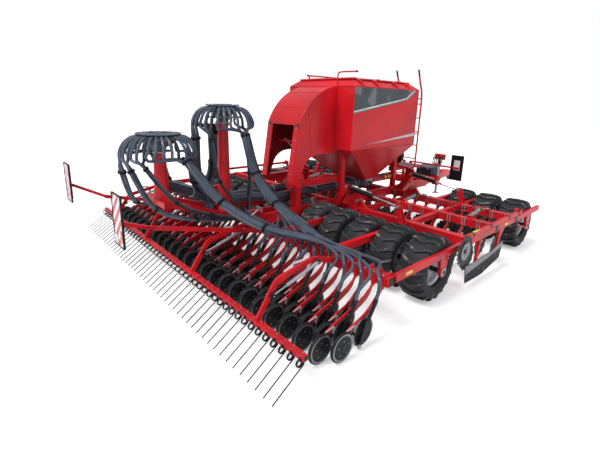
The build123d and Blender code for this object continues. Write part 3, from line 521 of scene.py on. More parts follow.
def tyre_shape(lugs, deep):
    """Carcass with its beads, and V lugs that run over both shoulders."""
    shape = Shape()
    wall = [(-0.114, 0.234), (-0.150, 0.241), (-0.181, 0.285), (-0.194, 0.335), (-0.189, 0.376), (-0.166, 0.405),
            (-0.12, 0.418), (-0.06, 0.424)]
    ring = wall + [(0, 0.426)] + [(-x, r) for x, r in reversed(wall)] + [wall[0]]
    shape.lathe(ring, (0, 0, 0), segs=60)
    half = [(0.0, 0.0, 0.449), (0.05, 0.0, 0.449), (0.10, 0.0, 0.447), (0.142, 0.0, 0.441), (0.172, 0.0, 0.424),
            (0.1895, 0.0, 0.393), (0.1945, 0.0, 0.352)]
    base = {0.0: 0.425, 0.05: 0.423, 0.10: 0.419, 0.142: 0.411, 0.172: 0.396, 0.1895: 0.368, 0.1945: 0.34}
    stations = [(-x, r) for x, _, r in reversed(half[1:])] + [(x, r) for x, _, r in half]
    for k in range(lugs):
        turn = 2 * pi * k / lugs
        points, faces = [], []
        for x, top in stations:
            low = base[abs(x)]
            top = low + (top - low) * deep
            mid = turn - 0.087 + 0.19 * abs(x) / 0.19
            wide = 0.050 + 0.06 * (0.19 - abs(x)) * 0.2
            for r, w in ((low - 0.004, wide), (top, wide * 0.72), (top, -wide * 0.72), (low - 0.004, -wide)):
                angle = mid + w / 2 / 0.43
                points.append((x, r * sin(angle), r * cos(angle)))
        for s in range(len(stations) - 1):
            for e in range(4):
                f = (e + 1) % 4
                faces.append((s * 4 + e, s * 4 + f, s * 4 + 4 + f, s * 4 + 4 + e))
        last = (len(stations) - 1) * 4
        faces += [(3, 2, 1, 0), (last, last + 1, last + 2, last + 3)]
        shape.add(points, faces, [1 if i < last and i % 4 == 1 else 0 for i in range(len(faces))])
    return shape


def wheel_shape(facing, bolts):
    """Pressed rim with a deep well, its disc, hub, wheel bolts and valve."""
    shape = Shape()
    ring = [(.114, .2340), (.116, .226), (.112, .218), (.104, .2135), (.098, .204), (.060, .198), (.040, .188),
            (.034, .170), (.034, .084),
            (.050, .076), (.056, .068), (.060, .034), (-.02, .034), (-.02, .075), (.008, .084), (.008, .170),
                    (.0, .186), (-.06, .198),
            (-.098, .204), (-.104, .2135), (-.112, .218), (-.116, .226), (-.114, .2340), (.114, .2340)]
    shape.lathe([(facing * a, r) for a, r in ring], (0, 0, 0), segs=48)
    shape.bolts((facing * .033, 0, 0), (facing, 0, 0), .115, bolts, 0.013, 0.016, 1)
    for k in range(6):
        angle = 2 * pi * (k + .5) / 6
        shape.lathe([(0, .022), (.0025, .022), (.003, .0)], (facing * .034, .147 * cos(angle), .147 * sin(angle)),
                (facing, 0, 0), 12, 2)
    shape.tube([(facing * .05, .19, .06), (facing * .085, .194, .062)], .006, 6, 2)
    return shape


def packer_pieces(sizes):
    """Tyres, wheels and axle of every packer."""
    for name, side in SIDES.items():
        for end, y in (("rear", 0.0), ("front", FRONT_Y)):
            if end == "front" and not side:
                continue
            body = f"packer_{end}_{name}"
            xs = tyre_xs(side, y)
            rubber = "dusty" if end == "rear" and not side else "tyre"
            spread(f"packer_tyres_{end}_{name}", tyre_shape(sizes.lugs, sizes.lug_depth),
                    [(x, y, TYRE_Z) for x in xs],
                   [rubber, "dusty"], body, [f"tyres_{end}_{name}"])
            shape = Shape()
            for x in xs:
                shape.join(wheel_shape(-1 if x < 0 else 1, 8), Matrix.Translation((x, y, TYRE_Z)))
            low, high = min(xs) - AXLE_OVER, max(xs) + AXLE_OVER
            ring = [(0, 0), (0, .024), (.004, .032), (high - low - .004, .032), (high - low, .024), (high - low, 0)]
            shape.lathe(ring, (low, y, TYRE_Z), segs=24, mark=2)
            shape.piece(f"packer_wheels_{end}_{name}", ["rim", "zinc", "black"], body,
                    replaces=[f"rims_{end}_{name}"], slot="rim_paint")


# Tillage discs and frame trim

def tillage_pieces(sizes):
    """Notched, dished discs on their hubs, one at the foot of each arm."""
    disc = Shape()
    teeth = 12
    ring = []
    for k in range(teeth * 6):
        angle = 2 * pi * k / (teeth * 6)
        part = k % 6
        r = (.2295, .2295, .2285, .212, .206, .214)[part]
        ring.append((r * cos(angle), r * sin(angle)))
    inner = len(ring)
    points = [(.0028, a, b) for a, b in ring] + [(-.0028, a, b) for a, b in ring]
    points += [(.0028, .12 * a / sqrt(a * a + b * b), .12 * b / sqrt(a * a + b * b)) for a, b in ring]
    points += [(-.0028, .12 * a / sqrt(a * a + b * b), .12 * b / sqrt(a * a + b * b)) for a, b in ring]
    faces = []
    for k in range(inner):
        t = (k + 1) % inner
        faces += [(k, t, inner + t, inner + k), (k, 2 * inner + k, 2 * inner + t, t),
                (inner + k, inner + t, 3 * inner + t, 3 * inner + k)]
    disc.add(points, faces, 0)
    disc.lathe([(.0028, .12), (.006, .10), (.008, .06), (.020, .055), (.022, .030), (.022, 0)], (0, 0, 0), segs=24,
            marks=[0, 0, 1, 1, 1])
    disc.lathe([(-.0028, .12), (.0, .10), (.002, .06), (-.0028, .055), (-.003, 0)], (0, 0, 0), segs=24)
    disc.bolts((.007, 0, 0), (1, 0, 0), .08, 4, .009, .008, 2, turn=.4)
    for name, side in SIDES.items():
        places = []
        for row, y in enumerate(TILL_Y):
            if side == 0:
                xs = [TILL_PITCH * (k + .5) for k in range(-4,
                        4)] if row == 0 else [TILL_PITCH * k for k in range(-3, 4)]
            else:
                xs = [side * (1.125 + ROW * row + TILL_PITCH * k) for k in range(8 - row)]
            places += [(x, y, TILL_Z) for x in xs]
        spread(f"notched_discs_{name}", disc, places, ["disc", "black", "zinc"], body_name(side),
                [f"tillage_discs_{name}"])
        trim = Shape()
        for x, y, _ in places:
            beam = CROSS_Y[2] if y > 1.6 else CROSS_Y[1]
            away = -1 if x > 0 else 1
            trim.block((x + away * .011 - .03, beam - .078, .61), (x + away * .011 + .03, beam + .078, .638), 0,
                    .004)
            for dy in (-.07, .07):
                for dx in (-.022, .022):
                    trim.bolt((x + away * .011 + dx, beam + dy, .638), (0, 0, 1), .008, .135, 1)
            trim.lathe([(0, .034), (.010, .034), (.014, .022), (.014, 0)], (x + away * .0195, y, TILL_Z),
                    (away, 0, 0), 12, 0)
        trim.piece(f"disc_arm_clamps_{name}", ["black", "zinc"], body_name(side))


# Coulters

def curve2(points, step=.03):
    """A rounded way through (y, z) points."""
    return [(p.y, p.z) for p in smooth_path([(0, a, b) for a, b in points], step)]


def arm_shape(row, away):
    """One coulter's arm with its clamp, boot, hose clip and scrapers, at x 0."""
    shape = Shape()
    hub, press = OPENER_Y[row], PRESS_Y[row]
    top = curve2([(BAR_Y + .03, .636), (BAR_Y - .05, .622), (BAR_Y - .17, .51), (hub + .03, .392),
            (press + .16, .318), (press + .045, .245), (press - .022, .172)])
    low = curve2([(press - .018, PRESS_Z - .024), (press + .02, PRESS_Z + .01), (press + .09, .222),
            (hub - .05, .262)])
    low += curve2([(hub - .035, .19), (hub - .018, .156), (hub + .012, .156), (hub + .03, .20), (hub + .052, .29),
            (BAR_Y - .16, .44), (BAR_Y - .06, .565), (BAR_Y + .03, .600)])
    x0 = away * ARM_OFF
    shape.plate(top + low, x0, x0 + away * .012, 0)
    rib = [(y, z - .012) for y, z in top[2:-4]]
    for (y0, z0), (y1, z1) in zip(rib[::3], rib[3::3]):
        shape.bar((x0 + away * .016, y0, z0), (x0 + away * .016, y1, z1), .010, .016, 0, .002)
    shape.block((x0 - .024, BAR_Y - .080, .598), (x0 + .030, BAR_Y - .063, .745), 0)
    shape.block((x0 - .024, BAR_Y - .078, .735), (x0 + .030, BAR_Y + .078, .745), 0)
    for dy in (-.072, .072):
        shape.bolt((x0 + .003, BAR_Y + dy, .745), (0, 0, 1), .010, .018, 2)
    shape.lathe([(0, .030), (.010, .030), (.013, .018), (.013, 0)], (x0 + away * .012, press, PRESS_Z),
            (away, 0, 0), 12, 2)
    shape.lathe([(0, .026), (.010, .026), (.013, .016), (.013, 0)], (x0 + away * .012, hub, OPENER_Z), (away, 0, 0),
            12, 2)
    # The boot, ribbed at its mouth, with the seed pipe down to the furrow
    mouth = [(-.006 * away, hub + .150, .520), (-.006 * away, hub + .128, .470), (-.006 * away, hub + .085, .40),
            (-.004 * away, hub + .03, .31)]
    shape.tube(smooth_path(mouth, .02), [.024] * 3 + [.021] * (len(smooth_path(mouth, .02)) - 3), 8, 1)
    for t in (0, .25, .5):
        y, z = hub + .150 - .022 * t * 2, .520 - .05 * t * 2
        shape.lathe([(-.004, .027), (.004, .027)], (-.006 * away, y, z), (0, .4, .9), 8, 3)
    shape.bar((-.002 * away, hub + .03, .33), (-.002 * away, hub - .075, .07), .030, .060, 1, .006)
    shape.bar((-.002 * away, hub - .04, .15), (-.002 * away, hub - .088, .024), .016, .05, 2, .003)
    shape.block((min(0, x0), hub + .06, .360), (max(0, x0), hub + .09, .378), 2, .002)
    # Scraper of the press wheel
    shape.bar((x0 + away * .006, press + .10, .285), (.004 * away, press + .185, .335), .012, .016, 2, .002,
            up=(1, 0, 0))
    shape.bar((0, press + .182, .345), (0, press + .168, .262), .034, .006, 2, .002)
    shape.bar((0, press + .170, .272), (0, press + .160, .238), .040, .008, 1, .002)
    return shape


def opener_shape(away):
    """The opener disc with its hub and nut, at the disc's middle."""
    shape = Shape()
    x0 = away * (ARM_OFF - .0028)
    ring = [(.0022, .045), (.0022, .150), (.0006, .1695), (-.0006, .1695), (-.0022, .150), (-.0022, .045)]
    shape.lathe([(x0 + a, r) for a, r in ring], (0, 0, 0), segs=36, marks=[0, 1, 1, 1, 0])
    shape.lathe([(x0 - away * .002, .062), (x0 - away * .010, .058), (x0 - away * .013, .044),
            (x0 - away * .018, .030), (x0 - away * .024, .024), (x0 - away * .024, 0)],
                (0, 0, 0), segs=20, mark=0)
    shape.bolts((x0 - away * .009, 0, 0), (-away, 0, 0), .05, 5, .006, .005, 2)
    return shape


def press_shape():
    """Press wheel: a narrow smooth tyre, rubbed grey at its edge, on black dished covers."""
    shape = Shape()
    half = [(-.0225, 0), (-.0225, .026), (-.0195, .034), (-.0185, .060), (-.0195, .100), (-.0170, .128),
            (-.0150, .138), (-.0185, .143), (-.0190, .150), (-.013, .1600), (-.005, .1645), (0, .1648)]
    ring = half + [(-a, r) for a, r in reversed(half[:-1])]
    marks = [2, 2, 0, 0, 0, 1, 1, 1, 0, 0, 0]
    shape.lathe(ring, (0, 0, 0), segs=34, marks=marks + marks[::-1])
    for k in range(5):
        for s in (-1, 1):
            angle = 2 * pi * k / 5 + .3
            shape.bolt((s * .018, .078 * cos(angle), .078 * sin(angle)), (s, 0, 0), .006, .007, 3)
    return shape


def coulter_pieces(sizes):
    """Arms, openers and press wheels of every row, and the seed bars."""
    for name, side in SIDES.items():
        body = body_name(side)
        for away in (-1, 1):
            for row in (0, 1):
                xs = [x for x in rows(side) if (-1 if x > 0 else 1) == away and row_of(x) == row]
                if not xs:
                    continue
                tag = f"{name}_{'front' if row == 0 else 'rear'}_{'r' if away < 0 else 'l'}"
                spread("coulters_" + tag, arm_shape(row, away), [(x, 0, 0) for x in xs],
                        ["red", "black", "zinc", "hose_dark"], body)
                spread("openers_" + tag, opener_shape(away), [(x, OPENER_Y[row], OPENER_Z) for x in xs],
                        ["disc", "edge", "zinc"], body,
                       [f"opener_discs_{name}"])
                spread("press_" + tag, press_shape(), [(x, PRESS_Y[row], PRESS_Z) for x in xs],
                        ["press", "edge", "black", "zinc"],
                       f"press_{'front' if row == 0 else 'rear'}_{name}",
                               [f"press_wheels_{'front' if row == 0 else 'rear'}_{name}"])
        x0, x1 = beam_ends(side)
        bar = Shape()
        bar.block((x0, BAR_Y - .06, BAR_Z - .06), (x1, BAR_Y + .06, BAR_Z + .06), 0, .010)
        for x, way in ((x0, 1), (x1, -1)):
            bar.block((x, BAR_Y - .052, BAR_Z - .052), (x + way * .006, BAR_Y + .052, BAR_Z + .052), 1, .006)
            bar.block((x - way * .0015, BAR_Y - .050, BAR_Z - .050), (x + way * .006, BAR_Y + .050, BAR_Z + .050),
                    1, .004)
        bar.piece(f"seed_bar_{name}", ["red", "black"], body, replaces=[f"coulter_bar_{name}"], slot="frame_red")


# Following harrow

def tine_shape():
    """A spring tine: its clip, its coil of two turns and a long straight leg."""
    shape = Shape()
    centre = (HARROW_Y - .034, HARROW_Z - .052)
    r = .041
    path = [(-.016, HARROW_Y, HARROW_Z - .03)]
    turns = 2.35
    count = 38
    for k in range(count + 1):
        angle = pi / 2 - 2 * pi * turns * k / count
        path.append((-.016 + .032 * k / count, centre[0] + r * cos(angle), centre[1] + r * sin(angle)))
    path.append((.016, TINE_TIP[0], TINE_TIP[1]))
    shape.tube(path, .0062, 6, 0)
    shape.block((-.026, HARROW_Y - .036, HARROW_Z - .040), (.026, HARROW_Y + .03, HARROW_Z - .028), 0, .003)
    shape.bolt((0, HARROW_Y, HARROW_Z + .028), (0, 0, 1), .008, .010, 1)
    return shape


def harrow_pieces(sizes):
    """Tines of every row, with the struts and clamps of the harrow's arms."""
    for name, side in SIDES.items():
        body = body_name(side)
        spread(f"spring_tines_{name}", tine_shape(), [(x, 0, 0) for x in rows(side)], ["tine", "zinc"], body,
                [f"harrow_tines_{name}"])
        trim = Shape()
        places = (-.8, .8) if side == 0 else (side * 2.25,)
        for x in places:
            trim.tube([(x + .045, -1.62, .80), (x + .045, -2.08, .66)], .022, 14, 0)
            trim.tube([(x + .045, -2.08, .66), (x + .045, -2.27, .60)], .010, 10, 0)
            for y, z in ((-1.62, .80), (-2.27, .60)):
                trim.lathe([(-.02, .026), (.02, .026), (.02, 0)], (x + .045, y, z), (1, 0, 0), 12, 1)
                trim.tube([(x - .02, y, z), (x + .07, y, z)], .010, 8, 0)
            trim.block((x - .0165, -1.93, .835), (x - .0155, -1.80, .865), 2, .0004)
            trim.block((x - .022, HARROW_Y - .034, HARROW_Z - .034), (x + .022, HARROW_Y + .034, HARROW_Z + .034),
                    3, .004)
            trim.block((x - .06, BAR_Y - .075, BAR_Z - .075), (x + .06, BAR_Y - .06, BAR_Z + .075), 3, .003)
            for dx in (-.045, .045):
                for dz in (-.062, .062):
                    trim.tube([(x + dx, BAR_Y - .092, BAR_Z + dz), (x + dx, BAR_Y + .085, BAR_Z + dz)], .008, 8, 0)
        x0, x1 = beam_ends(side)
        for x, way in ((x0, 1), (x1, -1)):
            trim.block((x - way * .0012, HARROW_Y - .024, HARROW_Z - .024),
                    (x + way * .003, HARROW_Y + .024, HARROW_Z + .024), 1, .003)
        trim.piece(f"harrow_springs_{name}", ["zinc", "black", "white", "red"], body)


# Hopper, hood, lid and ladder

HOP = {"half": .82, "rear": .59, "front": 2.58, "top": 2.83, "crease": 1.745}


def hopper_trim(sizes):
    """Rolled rims, seams, films and brackets on the hopper; its own sheets are the CAD's."""
    h, y0, y1, top, crease = HOP["half"], HOP["rear"], HOP["front"], HOP["top"], HOP["crease"]
    shape = Shape()
    for s in (-1, 1):
        shape.tube([(s * h, y0, top), (s * h, y1, top)], .009, 8, 0)
        shape.tube([(s * h, y0, crease), (s * h, y1, crease)], .008, 8, 0)
        for y in (y0, y1):
            shape.tube([(s * h, y, crease), (s * h, y, top)], .008, 8, 0)
            shape.tube([(s * .430, 1.70 + (.12 if y > 1 else -.12), 1.06), (s * h, y, crease)], .007, 8, 0)
            shape.tube([(s * h, y, top), (s * .64, y + (.13 if y < 1 else -.13), top + .12)], .008, 8, 0)
    for y in (y0, y1):
        shape.tube([(-h, y, top), (h, y, top)], .009, 8, 0)
        shape.tube([(-h, y, crease), (h, y, crease)], .008, 8, 0)
    shape.block((-.45, 1.56, 1.052), (.45, 1.60, 1.072), 0)
    shape.block((-.45, 1.80, 1.052), (.45, 1.84, 1.072), 0)
    for k in range(9):
        for y in (1.57, 1.83):
            shape.bolt((-.40 + .1 * k, y, 1.072), (0, 0, 1), .008, .007, 1)
    # Hinge brackets of the lid along the right edge, catches on the left
    for y in (.86, 1.30, 1.88, 2.30):
        shape.bar((.655, y, top + .118), (.735, y, top + .085), .05, .028, 0, .004)
        shape.bar((.735, y, top + .085), (.80, y, top + .020), .04, .020, 0, .004)
        shape.tube([(.655, y - .04, top + .135), (.655, y + .04, top + .135)], .013, 10, 1)
    for y in (1.0, 2.15):
        shape.bar((-.66, y, top + .125), (-.74, y, top + .07), .03, .014, 1, .003)
        shape.tube([(-.74, y, top + .07), (-.79, y, top + .03)], .009, 8, 2)
    # Short rail at the hopper's top, above the hood
    shape.tube(smooth_path([(.40, .62, top + .04), (.41, .62, top + .20), (.47, .62, top + .235),
            (.80, .62, top + .235)], .03), .012, 8, 0)
    shape.tube([(.80, .62, top + .235), (.84, .62, top + .235)], .015, 8, 2)
    for s in (-1, 1):
        # A yellow reflector on a small red plate low on the side of the cradle
        shape.block((s * .545, 2.02, 1.02), (s * .553, 2.30, 1.12), 0)
        for k in range(2):
            shape.block((s * .5525, 2.05 + .13 * k, 1.05), (s * .556, 2.12 + .13 * k, 1.09), 3, .001)
    shape.piece("hopper_trim", ["red", "zinc", "black", "yellow"], "frame", slot="hopper_red")
    film = Shape()
    for s in (-1, 1):
        x = s * (h + .0008)
        film.plate([(.61, top - .012), (2.43, top - .012), (2.15, 2.665), (.61, 2.420)], x, x + s * .0008, 0)
        film.plate([(2.43, top - .012), (2.47, top - .012), (2.178, 2.645), (.61, 2.394), (.61, 2.420),
                (2.15, 2.665)], x, x + s * .0009, 1)
        film.plate([(2.47, top - .012), (2.495, top - .012), (2.195, 2.630), (.61, 2.376), (.61, 2.394),
                (2.178, 2.645)], x, x + s * .0009, 2)
        film.plate([(.98, 1.828), (2.55, 1.925), (2.565, 1.985), (1.6, 1.885)], x, x + s * .0009, 3)
    film.piece("side_films", ["panel", "white", "teal", "silver"], "frame", slot="hopper_red")


def hood_outline():
    """The hood's side from its top down to the foot, rounded as the sheet is rolled."""
    a, c = (.5897, 2.83), (-.264, 2.19)
    b = ((a[0] + c[0]) / 2 - .07, (a[1] + c[1]) / 2 + .13)
    d = 2 * (a[0] * (b[1] - c[1]) + b[0] * (c[1] - a[1]) + c[0] * (a[1] - b[1]))
    sq = [p[0] ** 2 + p[1] ** 2 for p in (a, b, c)]
    ux = (sq[0] * (b[1] - c[1]) + sq[1] * (c[1] - a[1]) + sq[2] * (a[1] - b[1])) / d
    uy = (sq[0] * (c[0] - b[0]) + sq[1] * (a[0] - c[0]) + sq[2] * (b[0] - a[0])) / d
    r = sqrt((a[0] - ux) ** 2 + (a[1] - uy) ** 2)
    t0, t1 = atan2(a[1] - uy, a[0] - ux), atan2(c[1] - uy, c[0] - ux)
    return [(ux + r * cos(t0 + (t1 - t0) * k / 24), uy + r * sin(t0 + (t1 - t0) * k / 24)) for k in range(25)]


def sheet_strip(shape, path, x0, x1, thick, mark=0, under=None):
    """A bent sheet along a path of (y, z), its outside on the path."""
    outer, inner = [Vector(p) for p in path], []
    for k, p in enumerate(outer):
        way = (outer[min(k + 1, len(outer) - 1)] - outer[max(k - 1, 0)]).normalized()
        inner.append(p + Vector((-way.y, way.x)) * thick)
    n = len(outer)
    points = [(x, p[0], p[1]) for p in outer for x in (x0, x1)] + [(x, p[0], p[1]) for p in inner for x in (x0, x1)]
    faces, below = [(0, 1, 2 * n + 1, 2 * n), (2 * n - 2, 2 * n - 1, 4 * n - 1, 4 * n - 2)], []
    for k in range(n - 1):
        a = 2 * k
        faces += [(a, a + 1, a + 3, a + 2), (a, a + 2, 2 * n + a + 2, 2 * n + a),
                (a + 1, a + 3, 2 * n + a + 3, 2 * n + a + 1)]
        below.append((2 * n + a, 2 * n + a + 1, 2 * n + a + 3, 2 * n + a + 2))
    shape.add(points, faces + below, [mark] * len(faces) + [mark if under is None else under] * len(below))


def hood_pieces(sizes):
    """The hood's sheets, what shows inside it and its work lamps."""
    half = HOOD_HALF
    shape = Shape()
    curve = hood_outline()
    # The sheet's underside takes the darker inside red, which is painted shade
    sheet_strip(shape, curve, -half, half, .008, 0, 1)
    foot = HOOD_FOOT
    back = curve + [foot, (foot[0] + .17, foot[1]), (foot[0] + .23, foot[1] + .13)]
    low = curve2([(foot[0] + .23, foot[1] + .13), (foot[0] + .27, foot[1] + .24), (foot[0] + .34, foot[1] + .33),
            (foot[0] + .45, foot[1] + .395), (foot[0] + .58, foot[1] + .42)], .04)
    outline = back + low[1:] + [(.5897, foot[1] + .42)]
    for s in (-1, 1):
        shape.plate(outline, s * (half - .0001), s * (half - .006), 0)
        # The inner face of each side sheet takes the darker inside red, which is painted shade
        shape.plate([(y + .004, z - .004) for y, z in outline], s * (half - .0062), s * (half - .0078), 1)
        # Flange of the open back, from the lip down to the foot
        lean = (foot[0] - curve[-1][0]) / (curve[-1][1] - foot[1])
        (y0, z0), (y1, z1) = foot, (curve[-1][0] + lean * .012, curve[-1][1] - .012)
        x0, x1 = sorted((s * HOOD_EDGE, s * half))
        points = [(x0, y0, z0), (x1, y0, z0), (x1, y1, z1), (x0, y1, z1)]
        points += [(x, y + .008, z) for x, y, z in points]
        shape.add(points, [(0, 1, 2, 3), (7, 6, 5, 4), (0, 4, 5, 1), (1, 5, 6, 2), (2, 6, 7, 3), (3, 7, 4, 0)], 0)
        shape.tube([(s * (half - .004), y, z - .004) for y, z in curve], .0055, 6, 0)
        shape.tube([(s * HOOD_EDGE, foot[0] + .004, foot[1]),
                (s * HOOD_EDGE, curve[-1][0] + .008, curve[-1][1] - .012)], .009, 8, 0)
        for k in range(5):
            z = 1.36 + .19 * k
            shape.bolt((s * .36, foot[0] + lean * -(z - foot[1]), z), (0, -1, 0), .010, .006, 3)
    lip = curve[-1]
    shape.bar((-half + .004, lip[0] + .012, lip[1] - .010), (half - .004, lip[0] + .012, lip[1] - .010), .022, .034,
            0, .005)
    # The seam of the two side sheets, and the stiffener near the lip
    for s in (-1, 1):
        for k in (8, 17):
            y, z = curve[k]
            shape.bar((s * (half + .0002), y + .02, z - .02),
                    (s * (half + .0002), y + .11, 1.68 if k == 17 else 1.70), .002, .008, 4, .0005, up=(1, 0, 0))
    for k in (8, 17):
        (y, z), (y2, z2) = curve[k], curve[k + 1]
        shape.bar((-half + .006, (y + y2) / 2 - .0002, (z + z2) / 2 + .0008),
                (half - .006, (y + y2) / 2 - .0002, (z + z2) / 2 + .0008), .010, .004, 4, .001)
    # Inside: a cross strut, a slanted brace and the round fan motor with its fitting
    shape.bar((-.40, -.05, 1.86), (.40, -.05, 1.86), .03, .03, 4)
    shape.bar((-.24, -.02, 1.90), (.22, .16, 1.42), .018, .018, 5)
    shape.bar((.10, .0, 1.26), (.10, .0, 1.46), .12, .05, 4, .004, up=(0, 1, 0))
    motor = [(0, 0), (0, .075), (.03, .088), (.10, .088), (.125, .07), (.14, .045), (.16, .045), (.16, 0)]
    shape.lathe(motor, (.10, .06, 1.55), (0, -1, 0), 28, 2)
    shape.lathe([(0, 0), (0, .020), (.028, .020), (.034, .014), (.05, .014), (.05, 0)], (.10, -.10, 1.55),
            (0, -1, 0), 12, 6)
    shape.bolts((.10, -.062, 1.55), (0, -1, 0), .070, 6, .007, .008, 3)
    shape.tube(smooth_path([(.10, -.08, 1.46), (.14, -.13, 1.30), (.22, -.06, 1.16), (.34, .10, 1.06),
            (.36, .35, .99)]), .012, 8, 2)
    shape.piece("hood_shell", ["hopper", "inside", "black", "zinc", "red", "rim", "brass"], "frame",
            replaces=["rear_hood"], slot="hopper_red")
    lamp = Shape()
    for s in (-1, 1):
        x = s * .375
        lamp.lathe([(-.030, 0), (-.030, .022), (-.018, .040), (.012, .046), (.020, .043), (.020, .036)],
                (x, lip[0] + .010, lip[1] - .044), (0, -1, 0), 20, 0)
        lamp.lathe([(.014, .036), (.018, .024), (.019, 0)], (x, lip[0] + .010, lip[1] - .044), (0, -1, 0), 20, 1)
        lamp.block((x - .012, lip[0] + .004, lip[1] - .012), (x + .012, lip[0] + .028, lip[1] - .004), 0)
    lamp.piece("work_lamps", ["black", "grey"], "frame")


def lid_pieces(sizes):
    """Trim on the lid: bowed sheet, its ribs, seal, bar and end caps."""
    z = 2.9503
    shape = Shape()
    x0, x1, y0, y1 = -.655, .655, .705, 2.465
    nx, ny = 12, 16
    points = []
    for j in range(ny + 1):
        for i in range(nx + 1):
            x, y = x0 + (x1 - x0) * i / nx, y0 + (y1 - y0) * j / ny
            edge = min(1, min(x - x0, x1 - x) / .10, min(y - y0, y1 - y) / .10)
            crown = (1 - (2 * i / nx - 1) ** 2) * .006
            points.append((x, y, z + .0225 + edge * .010 * (1 if j % 4 else .3) + crown * edge))
    faces = [(j * (nx + 1) + i, j * (nx + 1) + i + 1, (j + 1) * (nx + 1) + i + 1,
            (j + 1) * (nx + 1) + i) for j in range(ny) for i in range(nx)]
    under = len(points)
    points += [(x, y, z + .002) for x, y, _ in points]
    faces += [tuple(under + v for v in reversed(f)) for f in faces]
    ring = list(range(nx)) + [nx + j * (nx + 1) for j in range(ny)]
    ring += [ny * (nx + 1) + nx - i for i in range(nx)] + [(ny - j) * (nx + 1) for j in range(ny)]
    for k, a in enumerate(ring):
        b = ring[(k + 1) % len(ring)]
        faces.append((b, a, under + a, under + b))
    shape.add(points, faces, 0)
    for y in (y0, y1):
        shape.tube([(x0, y, z + .010), (x1, y, z + .010)], .011, 8, 1)
    for x in (x0, x1):
        shape.tube([(x, y0, z + .010), (x, y1, z + .010)], .011, 8, 1)
    for y in (.89, 1.585, 2.28):
        shape.block((x0 + .075, y - .016, z + .022), (x1 - .075, y + .016, z + .044), 0, .006)
    bar_x = -.52
    shape.tube([(bar_x, .77, z + .09), (bar_x, 2.18, z + .09)], .0145, 12, 1)
    for y in (.77, 2.18):
        shape.lathe([(-.012, 0), (-.012, .016), (.012, .016), (.012, 0)], (bar_x, y, z + .09), (0, 1, 0), 12, 2)
    for y in (.81, 2.12):
        shape.block((bar_x - .012, y - .012, z + .018), (bar_x + .012, y + .012, z + .092), 1)
    for k in range(8):
        for x in (x0 + .03, x1 - .03):
            shape.bolt((x, y0 + .11 + .22 * k, z + .026), (0, 0, 1), .007, .006, 3)
    shape.piece("lid_sheet", ["hopper", "red", "black", "zinc"], "lid", replaces=["hopper_lid"], slot="hopper_red")


def ladder_pieces(sizes):
    """The ladder, its steps and the grating below."""
    shape = Shape()
    xs = (.16, .68)
    for x in xs:
        path = smooth_path([(x, 2.96, 1.24), (x, 2.96, 1.8), (x, 2.96, 2.55), (x, 2.935, 2.80), (x, 2.86, 2.96),
                (x, 2.74, 3.238)], .06)
        shape.tube(path, .0175, 12, 0)
        shape.tube([path[-1], path[-1] + (path[-1] - path[-2]).normalized() * .001], .017, 12, 1)
        shape.tube(path[-3:], .0178, 12, 1)
    for k in range(6):
        z = 1.40 + .29 * k
        if z < 2.77:
            shape.block((xs[0], 2.946, z - .010), (xs[1], 2.974, z + .010), 0, .004)
            for j in range(9):
                x = xs[0] + .05 + .053 * j
                shape.block((x, 2.950, z + .009), (x + .012, 2.970, z + .014), 0, .002)
    for z in (1.945, 2.67):
        for x in xs:
            shape.bar((x, 2.5805, z), (x, 2.95, z), .016, .024, 0, .003)
            shape.block((x - .03, 2.5805, z - .03), (x + .03, 2.588, z + .03), 0, .003)
    shape.piece("ladder_rails", ["red", "black"], "frame", replaces=["ladder"], slot="frame_red")
    step = Shape()
    for k in range(26):
        x = -.43 + .045 * k
        step.block((x, 2.645, 1.2395), (x + .012, 3.195, 1.2465), 0, .002)
    for y in (2.64, 3.19):
        step.block((-.44, y, 1.232), (.72, y + .01, 1.250), 1, .002)
    step.piece("step_grating", ["zinc", "red"], "frame")


# Air: fan, metering, ducts, towers, heads and hoses

def fan_pieces(sizes):
    """The blower with its grille and foot."""
    x, y, z, r = .33, 2.65, 1.45, .19
    shape = Shape()
    ring = [(0, .05), (0, r - .02), (.008, r - .002), (.03, r), (.09, r), (.112, r - .002), (.12, r - .02),
            (.12, .115), (.158, .108), (.160, .100), (.125, .095), (.12, .05)]
    shape.lathe([(a, b * .995) for a, b in ring] + [(0, .05)], (x, y, z), (0, 1, 0), 40, 0)
    for k in range(7):
        shape.lathe([(.150, .012 + .014 * k), (.153, .0135 + .014 * k), (.156, .012 + .014 * k)], (x, y, z),
                (0, 1, 0), 28, 1)
    for k in range(6):
        angle = pi * k / 6
        shape.bar((x + .1 * cos(angle), y + .151, z + .1 * sin(angle)),
                (x - .1 * cos(angle), y + .151, z - .1 * sin(angle)), .004, .004, 1, .001)
    shape.lathe([(-.002, 0), (-.002, .06), (.02, .055), (.02, 0)], (x, y + .125, z), (0, 1, 0), 20, 2)
    shape.bolts((x, y + .118, z), (0, 1, 0), .178, 12, .006, .006, 1)
    shape.block((x - .09, y + .012, 1.24), (x + .09, y + .108, 1.325), 3, .006)
    for dx in (-.06, .06):
        shape.bolt((x + dx, y + .06, 1.2405), (0, 0, 1), .012, .01, 1)
    shape.piece("fan_housing", ["black", "zinc", "grey", "red"], "frame", replaces=["fan"])


